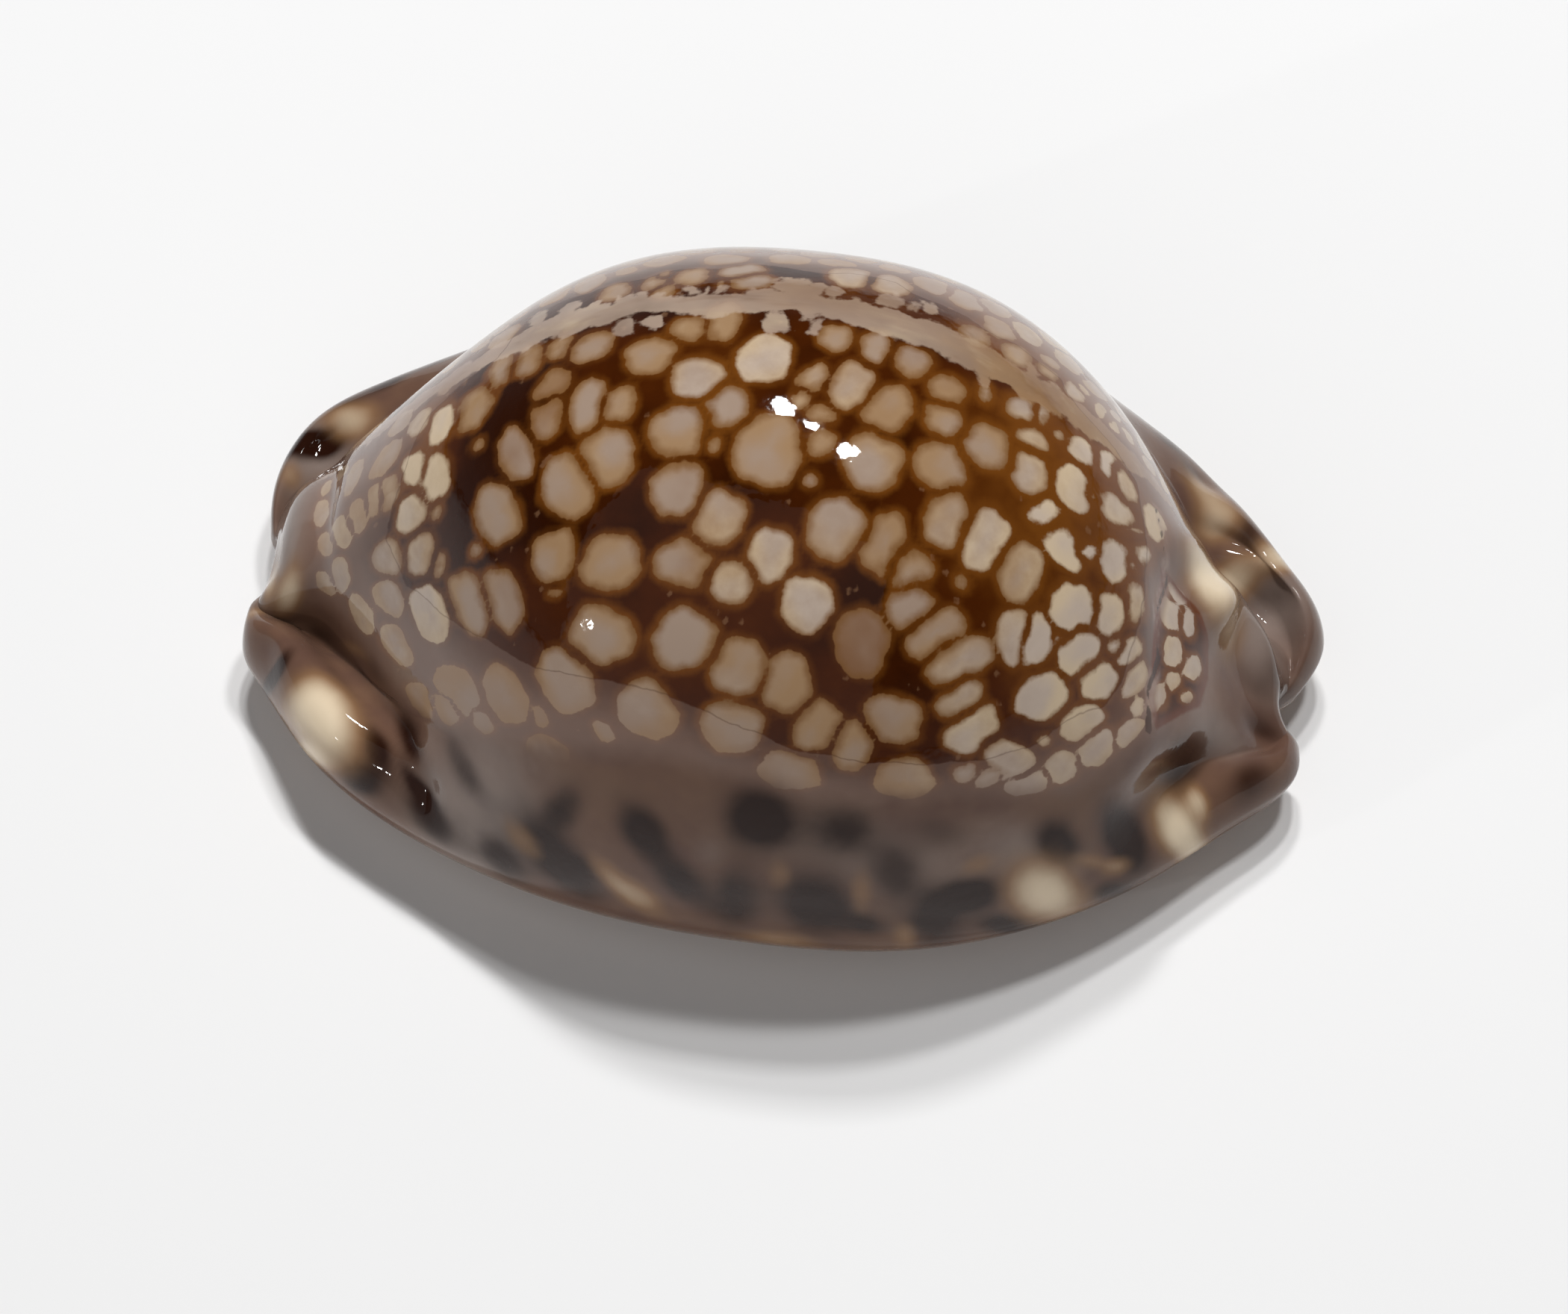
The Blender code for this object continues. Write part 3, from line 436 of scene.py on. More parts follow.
def colour(name, description, default):
    """A colour property."""
    return FloatVectorProperty(name=name, description=description, default=default, size=3, min=0, max=1,
                               subtype="COLOR")


def power(name, description, default):
    """A property for the power of a light."""
    return FloatProperty(name=name, description=description, default=default, min=0, unit="POWER")


def turned(name, description, degrees):
    """An angle property."""
    return FloatProperty(name=name, description=description, default=math.radians(degrees), subtype="ANGLE")


class ShellSizes(bpy.types.PropertyGroup):
    """Sizes of the shell."""

    length: length("Length", "Distance between the tips of the margins", 0.065, 0.02)
    width: length("Width", "Width across the margins", 0.041, 0.01)
    height: length("Height", "Height from the base to the crest", 0.0318, 0.01)
    slit_width: length("Slit width", "Gap between the two lips", 0.0026, 0.0005)
    lip_rounding: length("Lip rounding", "Radius of the lips' edges", 0.0013, 0.0002)
    lip_depth: length("Lip depth", "Height of the slit's wall", 0.0029, 0.0005)
    tooth_count: IntProperty(name="Teeth", description="Teeth on each lip", default=24, min=4, max=60)
    tooth_height: length("Tooth height", "Depth of the furrows between the teeth", 0.0006, 0)
    rim_radius: length("Rim radius", "Rounding of the channel mouths' edges", 0.0005, 0.0001)
    far_spot: length("Far spots", "Half size of the spots on the side away from view", 0.00125, 0.0004)


class ShellColours(bpy.types.PropertyGroup):
    """Colours of the enamel."""

    spot: colour("Spot", "Plain pale spots", (0.35, 0.215, 0.113))
    bright_spot: colour("Bright spot", "The palest spots", (0.62, 0.485, 0.33))
    blue_spot: colour("Blue spot", "Milky blue clouds in the spots", (0.36, 0.262, 0.198))
    milky_spot: colour("Milky spot", "Milky clouds in the palest spots", (0.53, 0.43, 0.355))
    dull_spot: colour("Dull spot", "The dullest spots", (0.21, 0.103, 0.050))
    net: colour("Net", "Brown of the net", (0.058, 0.0118, 0.0010))
    deep_net: colour("Deep net", "Darkest parts of the net", (0.024, 0.0046, 0.0005))
    amber: colour("Amber", "Edges of the net beside the spots", (0.160, 0.050, 0.0060))
    spot_edge: colour("Spot edge", "Brown edges of the pale spots", (0.190, 0.083, 0.024))
    line: colour("Mantle line", "Smeared line along the back", (0.47, 0.355, 0.275))
    # Mauve of the painted reflection of the bright room over the net; the seam's flakes share it.
    reflection_mauve: colour("Veil", "Thin layer of enamel over the net", (0.33, 0.225, 0.180))
    callus: colour("Callus", "Grey of the margins", (0.115, 0.062, 0.046))
    warm_callus: colour("Warm callus", "Fawn of the margins", (0.180, 0.098, 0.060))
    # Colour of the dark marks, and of the painted shade at the knob's foot, in the hollow beyond it and under
    # a lobe.
    dark_mark_and_shade: colour("Dark mark", "Blurred dark marks of the margins", (0.020, 0.0060, 0.0030))
    pale_mark: colour("Pale mark", "Cream patches of the margins", (0.78, 0.64, 0.46))
    milky_callus: colour("Milky callus", "Pale grey clouds of the margins", (0.265, 0.208, 0.180))
    halo: colour("Halo", "Tan halo round the cream patches", (0.28, 0.155, 0.075))
    spire_edge: colour("Spire edge", "Red-brown edge of the spire", (0.13, 0.025, 0.006))
    base: colour("Base", "Underside", (0.50, 0.37, 0.29))
    base_mark: colour("Base mark", "Stain on the underside", (0.11, 0.055, 0.05))
    teeth: colour("Teeth", "Teeth along the slit", (0.13, 0.032, 0.012))
    cavity: colour("Cavity", "Inside of the shell", (0.34, 0.29, 0.37))


class StudioSettings(bpy.types.PropertyGroup):
    """Floor, lights and view."""

    floor: colour("Floor", "Colour of the floor", (0.90, 0.90, 0.90))
    surroundings: FloatProperty(name="Surroundings", description="Brightness of the room at the horizon",
                                default=0.25, min=0)
    overhead: FloatProperty(name="Overhead", description="Brightness of the room overhead", default=0.03,
                            min=0)
    key_light: power("Key light", "Power of the lights above the far side", 3.95)
    front_light: power("Front light", "Power of the small light at the front end", 0.18)
    fill_light: power("Fill light", "Power of the broad light on the near side", 2.0)
    view_distance: length("View distance", "From the camera to the shell", 0.26, 0.05)
    view_azimuth: turned("View azimuth", "Turn of the camera round the shell", 7.6)
    view_elevation: turned("View elevation", "Height of the camera as an angle", 59.4)
    view_field: turned("Field of view", "Width of the picture as an angle", 19.9)


def rail_value(values, station):
    """Smooth value at a station: the natural cubic through a rail's values."""
    knots = np.asarray(STATIONS)
    values = np.asarray(values, dtype=float)
    gaps = np.diff(knots)
    count = len(knots)
    system = np.eye(count)
    right = np.zeros(count)
    slopes = np.diff(values) / gaps
    for i in range(1, count - 1):
        system[i, i - 1:i + 2] = gaps[i - 1], 2 * (gaps[i - 1] + gaps[i]), gaps[i]
        right[i] = 6 * (slopes[i] - slopes[i - 1])
    bend = np.linalg.solve(system, right)
    k = np.clip(np.searchsorted(knots, station) - 1, 0, count - 2)
    a = (knots[k + 1] - station) / gaps[k]
    b = 1 - a
    straight = a * values[k] + b * values[k + 1]
    return straight + ((a ** 3 - a) * bend[k] + (b ** 3 - b) * bend[k + 1]) * gaps[k] ** 2 / 6


def ease(value):
    """Smooth step from 0 to 1."""
    value = np.clip(value, 0, 1)
    return value * value * (3 - 2 * value)


def growth(value, start, run, amount):
    """Grows smoothly from 0 at the start to the amount after the run."""
    return amount * ease((value - start) / run)


def quarter_turn(angle, start, end):
    """Turn in radians that grows from 0 to a quarter turn between two angles in degrees."""
    return np.clip((np.abs(angle) - start) / (end - start), 0, 1) * math.pi / 2


def level_off(value):
    """Follows small values and levels off at 1."""
    return value / (1 + value ** VALLEY_SHARPNESS) ** (1 / VALLEY_SHARPNESS)


class ShellForm:
    """The shell's surfaces in millimetres, over stations along it and angles round it. The angle, in
    degrees, is 0 on the crest, positive on the lip side, 90 on the margin and 180 in the slit."""

    def __init__(self, sizes):
        self.half_length = sizes.length / MM / 2
        self.half_width = sizes.width / MM / 2
        self.height = sizes.height / MM
        self.slit_width = sizes.slit_width / MM
        self.lip_rounding = sizes.lip_rounding / MM
        self.lip_depth = sizes.lip_depth / MM
        self.tooth_count = sizes.tooth_count
        self.tooth_height = sizes.tooth_height / MM

    def rail_points(self, rail, station):
        """Points of a rail."""
        return np.stack([rail_value(rail["along"], station) * self.half_length,
                         rail_value(rail["across"], station) * self.half_width,
                         rail_value(rail["height"], station) * self.height], axis=-1)

    def lip_edge(self, station, lip_side):
        """Foot of the slit's wall on one side."""
        edge = self.rail_points(SLIT, station)
        narrowed = NARROWING * ease((np.abs(station) - NARROWS_FROM) / (1 - NARROWS_FROM))
        opening = self.slit_width / 2 * (1 - narrowed)
        edge[..., 1] += np.where(lip_side, opening, -opening)
        return edge

    def side_points(self, lip_rail, columella_rail, station, lip_side):
        """Points of the rail on each point's own side."""
        return np.where(lip_side[..., None], self.rail_points(lip_rail, station),
                        self.rail_points(columella_rail, station))

    def outward(self, lip_side):
        """Radius of the lips, with the sign of the side."""
        return np.where(lip_side, self.lip_rounding, -self.lip_rounding)

    def plain_skin(self, station, angle):
        """Outside of the shell without teeth or relief."""
        lip_side = angle >= 0
        margin = self.side_points(LIP_MARGIN, COLUMELLA_MARGIN, station, lip_side)
        brim = np.where(lip_side, rail_value(LIP_BRIM, station), rail_value(COLUMELLA_BRIM, station))
        steepness = 1 + BRIM_STEEPENING * brim
        down = level_off(np.abs(angle) / 90 * steepness) / level_off(steepness) * math.pi / 2
        reach = (1 - brim) * np.sin(down) + growth(np.abs(angle), BRIM_STARTS, 90 - BRIM_STARTS, brim)
        drop = np.cos(np.minimum(down, math.pi / 2)) ** DOME_ROUNDNESS
        dome = arched(self.rail_points(CREST, station), margin, angle, reach, drop)
        dome[..., 2] += ROLL_HEIGHT * brim * np.sin(2 * quarter_turn(angle, ROLL_STARTS, 90))
        sink = 1 - (1 - np.sin(quarter_turn(angle, 90, LIP_STARTS))) ** BASE_ROUNDNESS
        base = drawn_in(margin, self.lip_edge(station, lip_side), self.outward(lip_side), angle, sink)
        base[..., 2] += self.lip_rounding * (1 - np.cos(quarter_turn(angle, LIP_STARTS, 180)))
        return np.where((np.abs(angle) <= 90)[..., None], dome, base)

    def cavity_wall(self, station, angle):
        """Inside of the wall, over the same stations and angles as the outside."""
        lip_side = angle >= 0
        wall = self.side_points(CAVITY_LIP_SIDE, CAVITY_COLUMELLA_SIDE, station, lip_side)
        turn = np.radians(np.abs(angle))
        roof = arched(self.rail_points(CAVITY_CREST, station), wall, angle, np.sin(turn),
                      np.abs(np.cos(turn)) ** DOME_ROUNDNESS)
        edge = self.lip_edge(station, lip_side)
        outward = self.outward(lip_side) * ease(np.abs(wall[..., 1] - edge[..., 1]) / CLOSING_WIDTH)
        edge[..., 2] += np.minimum(self.lip_depth, (wall[..., 2] - edge[..., 2]) * LIP_SHARE)
        floor = drawn_in(wall, edge, outward, angle, np.sin(quarter_turn(angle, 90, LIP_STARTS)))
        round_turn = quarter_turn(angle, LIP_STARTS, 180)
        floor[..., 2] -= INNER_ROUNDING * self.lip_rounding * (1 - np.cos(round_turn))
        return np.where((np.abs(angle) <= 90)[..., None], roof, floor)

    def outward_normals(self, station, angle):
        """Unit normals of the plain skin."""
        lip_side = angle >= 0
        side = np.where(lip_side, 1, -1)
        near = np.maximum(np.abs(angle) - SLOPE_TURN, np.where(lip_side, 0, 1e-9)) * side
        far = np.minimum(np.abs(angle) + SLOPE_TURN, 180) * side
        along = self.plain_skin(station + SLOPE_STEP, angle) - self.plain_skin(station - SLOPE_STEP, angle)
        turned = self.plain_skin(station, far) - self.plain_skin(station, near)
        normals = np.cross(along, side[..., None] * turned)
        return normals / np.maximum(np.linalg.norm(normals, axis=-1, keepdims=True), 1e-12)

    def relief(self, points, angle):
        """Height of the callus relief above the plain skin."""
        height = np.zeros(points.shape[:-1])
        for *place, rise in SWELLINGS:
            x, y = placed(points[..., 0], points[..., 1], *place)
            height += rise * np.exp(-x ** 2 - y ** 2)
        for *place, rise in LEDGES:
            x, y = placed(points[..., 0], points[..., 1], *place)
            height += rise * LEDGE_PEAK * y * np.exp(-x ** 2 - y ** 2)
        return height * ease((RELIEF_ENDS - np.abs(angle)) / RELIEF_FADE)

    def tooth_wave(self, station, angle):
        """1 on the teeth and 0 in the furrows between them."""
        pitch = (TOOTHED_TO - TOOTHED_FROM) / self.tooth_count
        wave = np.cos(2 * math.pi * (station - TOOTHED_FROM) / pitch)
        return 0.5 - 0.5 * np.where(angle >= 0, wave, -wave)

    def toothed(self, station, angle):
        """How far a point lies within the toothed bands, from 0 to 1."""
        pitch = (TOOTHED_TO - TOOTHED_FROM) / self.tooth_count
        reach = ease((np.abs(angle) - TEETH_START) / TEETH_FADE)
        return reach * ease((station - TOOTHED_FROM) / pitch) * ease((TOOTHED_TO - station) / pitch)

    def outer_skin(self, station, angle):
        """Outside of the shell, with relief, teeth and the flat places it rests on."""
        points = self.plain_skin(station, angle)
        normals = self.outward_normals(station, angle)
        points = points + normals * self.relief(points, angle)[..., None]
        resting = np.maximum(points[..., 2] - REST_DEPTH, 0)
        points[..., 2] = np.where(np.abs(angle) > 90, resting, points[..., 2])
        furrow = (1 - self.tooth_wave(station, angle)) ** FURROW_SHARPNESS * self.toothed(station, angle)
        return points - normals * (self.tooth_height * furrow)[..., None]


def arched(crest, margin, angle, reach, drop):
    """Points between the crest and a margin. The reach grows to 1 on the margin, the drop falls to 0."""
    cosine = np.abs(np.cos(np.radians(np.abs(angle))))
    return np.stack([margin[..., 0] + (crest[..., 0] - margin[..., 0]) * cosine ** END_DRAW,
                     crest[..., 1] + (margin[..., 1] - crest[..., 1]) * reach,
                     margin[..., 2] + (crest[..., 2] - margin[..., 2]) * drop], axis=-1)


def drawn_in(margin, edge, outward, angle, sink):
    """Points between a margin and the slit, turned into the slit's wall."""
    under = quarter_turn(angle, 90, LIP_STARTS)
    shoulder = edge[..., 1] + outward
    turned_in = outward * np.sin(quarter_turn(angle, LIP_STARTS, 180))
    return np.stack([margin[..., 0] + (edge[..., 0] - margin[..., 0]) * np.sin(under) ** BASE_ROUNDNESS,
                     shoulder + (margin[..., 1] - shoulder) * np.cos(under) - turned_in,
                     margin[..., 2] + (edge[..., 2] - margin[..., 2]) * sink], axis=-1)


def placed(x, y, along, across, half_length, half_width, turn):
    """Places in the frame of one mark, in its half lengths and half widths."""
    cosine = math.cos(math.radians(turn))
    sine = math.sin(math.radians(turn))
    x = x - along
    y = y - across
    return (x * cosine + y * sine) / half_length, (y * cosine - x * sine) / half_width


def cell_lines():
    """Stations of the cross lines, and for each line round the shell its angle, and its depth from 0 on the
    outside to 1 in the cavity."""
    stations = np.linspace(-1, 1, CELLS_ALONG + 1)
    half = np.concatenate([np.linspace(a, b, cells + 1)[1:] for a, b, cells
                           in zip(ROUND_KNOTS[:-1], ROUND_KNOTS[1:], ROUND_CELLS)])
    outside = np.concatenate([-half[::-1], [0], half])
    wall = np.linspace(0, 1, WALL_CELLS + 1)[1:-1]
    inside_half = np.linspace(180, 0, CAVITY_CELLS + 1)
    inside = np.concatenate([inside_half, -inside_half[::-1][1:]])
    angles = np.concatenate([outside, np.full(len(wall), 180), inside, np.full(len(wall), -180), [-180]])
    depths = np.concatenate([np.zeros(len(outside)), wall, np.ones(len(inside)), wall[::-1], [0]])
    return stations, angles, depths


def rounded_rims(form, station, angle, depth, radius):
    """Points of the whole skin, with the edges of the channel mouths rounded over the wall's thickness."""
    outside = form.outer_skin(station, angle)
    inside = form.cavity_wall(station, angle)
    points = outside + (inside - outside) * depth[..., None]
    middle = (outside + inside) / 2
    edge = (1 - np.abs(station)) * form.half_length
    thickness = np.sqrt(np.clip(1 - ((radius - edge) / radius) ** 2, 0, 1))
    thickness = np.where(edge >= radius, 1, thickness)
    return middle + (points - middle) * thickness[..., None]


def unrolled(form, station, angle):
    """Distance round the shell from the crest, over a grid of stations and rising angles."""
    points = form.outer_skin(station, angle)
    steps = np.linalg.norm(np.diff(points, axis=1), axis=-1)
    run = np.concatenate([np.zeros((len(station), 1)), np.cumsum(steps, axis=1)], axis=1)
    crest = np.argmin(np.abs(angle[0]))
    return run - run[:, crest:crest + 1]


def edge_distance(outline, x, y):
    """Distance to a closed outline, positive inside it."""
    corners = np.array(outline, dtype=float)
    nearest = np.full(x.shape, np.inf)
    inside = np.zeros(x.shape, bool)
    for a, b in zip(corners, np.roll(corners, -1, axis=0)):
        nearest = np.minimum(nearest, segment_distance(a, b, x, y))
        crosses = (a[1] > y) != (b[1] > y)
        rise = b[1] - a[1] if b[1] != a[1] else 1e-9
        inside ^= crosses & (x < (b[0] - a[0]) * (y - a[1]) / rise + a[0])
    return np.where(inside, nearest, -nearest)


def segment_distance(a, b, x, y):
    """Distance to the straight stretch from a to b."""
    run = b - a
    share = np.clip(((x - a[0]) * run[0] + (y - a[1]) * run[1]) / (run @ run), 0, 1)
    return np.hypot(x - a[0] - share * run[0], y - a[1] - share * run[1])


def route_distance(route, x, y):
    """Distance to an open route."""
    route = np.array(route)
    nearest = np.full(x.shape, np.inf)
    for a, b in zip(route[:-1], route[1:]):
        nearest = np.minimum(nearest, segment_distance(a, b, x, y))
    return nearest


def line_edge(x, y):
    """Distance to the edge of the mantle line, negative within it."""
    return route_distance(MANTLE_LINE, x, y) - np.interp(x, *np.array(MANTLE_HALF_WIDTH).T)


def spot_edge(x, y, spot, random):
    """Distance to the edge of one spot, negative within it. The spot is a rounded, slightly uneven oval."""
    along, across = placed(x, y, *spot[:5])
    bulge = (np.abs(along) ** SPOT_SQUARENESS + np.abs(across) ** SPOT_SQUARENESS) ** (1 / SPOT_SQUARENESS)
    around = np.arctan2(across, along)
    uneven = 1
    for (turns, depth), start in zip(SPOT_WAVES, random.uniform(0, 2 * math.pi, len(SPOT_WAVES))):
        uneven = uneven + depth * np.cos(turns * around + start)
    from_middle = np.hypot(x - spot[0], y - spot[1])
    return from_middle * (1 - uneven / np.maximum(bulge, 1e-3))


def far_spots(random, half_size):
    """Spots thrown over the side away from the view and the far ends, each kept clear of the ones before it.
    The skin falls steeply at the ends, so the spots are shorter along the shell there."""
    thrown = []
    taken = [(s[0], s[1], (s[2] + s[3]) / 2) for s in SPOTS if s[1] > NEIGHBOURS_FROM]
    for _ in range(FAR_TRIES):
        x = random.uniform(*FAR_ALONG)
        y = random.uniform(*FAR_ROUND)
        if y < KEPT_ROUND and KEPT_ALONG[0] < x < KEPT_ALONG[1]:
            continue
        flat = 1 - growth(abs(x), *FLATTER_ENDS)
        size = half_size * random.uniform(*FAR_SIZE) * (1 - END_SHRINKING * abs(x) / END_ALONG)
        room = size * FAR_CLOSENESS + FAR_GAP
        if all(((x - a) / flat) ** 2 + (y - b) ** 2 > (room + c) ** 2 for a, b, c in taken):
            taken.append((x, y, size))
            stretch = random.uniform(*FAR_STRETCH)
            thrown.append((x, y, size * stretch, size * flat / stretch, random.uniform(*FAR_TURN),
                           random.uniform(*FAR_TONE)))
    return thrown


def spot_fields(x, y, spots, random):
    """For each point, the distance to the nearest spot's edge, how much further the next spot's edge is, and
    the nearest spot's tone."""
    nearest = np.full(x.shape, NONE_NEAR)
    second = np.full(x.shape, NONE_NEAR)
    tone = np.zeros(x.shape)
    for spot in spots:
        reach = spot[2] + SPOT_REACH
        near = (np.abs(x - spot[0]) < reach) & (np.abs(y - spot[1]) < reach)
        edge = spot_edge(x[near], y[near], spot, random)
        closer = edge < nearest[near]
        second[near] = np.where(closer, nearest[near], np.minimum(second[near], edge))
        nearest[near] = np.where(closer, edge, nearest[near])
        tone[near] = np.where(closer, spot[5], tone[near])
    return nearest, second - nearest, tone


def speck_field(x, y, spots, random):
    """Distance to the edge of tiny specks strewn over the net."""
    nearest = np.full(x.shape, NONE_NEAR)
    for _ in range(SPECK_TRIES):
        a, b = random.uniform(*SPECKS_ALONG), random.uniform(*SPECKS_ROUND)
        size = random.uniform(*SPECK_SIZE)
        if min(math.hypot(a - s[0], b - s[1]) - (s[2] + s[3]) / 2 for s in spots) < SPECK_GAP:
            continue
        near = (np.abs(x - a) < SPECK_REACH) & (np.abs(y - b) < SPECK_REACH)
        edge = np.hypot(x[near] - a, (y[near] - b) * SPECK_LENGTH) - size
        nearest[near] = np.minimum(nearest[near], edge)
    return nearest


def blurred(x, y, marks, spread=1.0):
    """Strength of the blurred marks, from 0 to 1."""
    clear = np.ones(x.shape)
    for *place, strength in marks:
        a, b = placed(x, y, *place)
        clear *= 1 - strength * np.exp(-((a ** 2 + b ** 2) / spread ** 2) ** BLUR_EDGE)
    return 1 - clear


def markings(form, sizes, station, angle):
    """Every marking as a value at each point of the outside."""
    random = np.random.default_rng(SEED)
    x = form.outer_skin(station, angle)[..., 0]
    y = unrolled(form, station, angle)
    spots = list(SPOTS) + far_spots(random, sizes.far_spot / MM)
    spot, gap, tone = spot_fields(x, y, spots, random)
    runs = spot_fields(x, y, RUNS, random)[0]
    return {
        "spot": spot,
        "gap": gap,
        # Paler spots towards both ends: painted light for the stronger light there.
        "tone": tone + growth(x, *PAINTED_LIGHT_REAR) + growth(-x, *PAINTED_LIGHT_FRONT),
        "speck": speck_field(x, y, spots, random),
        "line": np.minimum(line_edge(x, y), runs),
        "bare": edge_distance(BARE_BACK, x, y),
        "netted": edge_distance(NETTED_BACK, x, y),
        "spire": edge_distance(SPIRE, x, y),
        "seam": route_distance(SEAM, x, y),
        "golden": blurred(x, y, GOLDEN_NET),
        "deep": blurred(x, y, DEEP_NET),
        "dark": blurred(x, y, DARK_MARKS_AND_SHADE, DARK_SPREAD),
        "pale": blurred(x, y, PALE_MARKS),
        "milky": blurred(x, y, MILKY_MARKS),
        "stain": blurred(x, y, BASE_MARKS),
        "under": growth(np.abs(angle), *UNDERSIDE),
        "tooth": form.tooth_wave(station, angle) * form.toothed(station, angle),
    }


def make_skin(sizes):
    """Mesh of the whole skin with its markings."""
    form = ShellForm(sizes)
    stations, angles, depths = cell_lines()
    grid = bmesh.new()
    bmesh.ops.create_grid(grid, x_segments=len(stations) - 1, y_segments=len(angles) - 1, size=1)
    mesh = bpy.data.meshes.new("cowrie_shell")
    grid.to_mesh(mesh)
    grid.free()
    flat = np.empty(len(mesh.vertices) * 3, np.float32)
    mesh.vertices.foreach_get("co", flat)
    flat = flat.reshape(-1, 3)
    column = np.rint((flat[:, 0] + 1) / 2 * (len(stations) - 1)).astype(int)
    row = np.rint((flat[:, 1] + 1) / 2 * (len(angles) - 1)).astype(int)
    station, angle = np.meshgrid(stations, angles, indexing="ij")
    depth = np.broadcast_to(depths, angle.shape)
    points = rounded_rims(form, station, angle, depth, sizes.rim_radius / MM) * MM
    mesh.vertices.foreach_set("co", points[column, row].astype(np.float32).ravel())
    outer = 2 * sum(ROUND_CELLS) + 1
    fields = markings(form, sizes, station[:, :outer], angle[:, :outer])
    fields = {name: np.pad(values, ((0, 0), (0, len(angles) - outer))) for name, values in fields.items()}
    fields["hollow"] = growth(depth, *CAVITY)
    for name, values in fields.items():
        layer = mesh.attributes.new(name, "FLOAT", "POINT")
        layer.data.foreach_set("value", values[column, row].astype(np.float32))
    loop = bmesh.new()
    loop.from_mesh(mesh)
    bmesh.ops.remove_doubles(loop, verts=loop.verts, dist=WELD_DISTANCE)
    bmesh.ops.recalc_face_normals(loop, faces=loop.faces)
    loop.to_mesh(mesh)
    loop.free()
    mesh.shade_smooth()
    mesh.update()
    return mesh


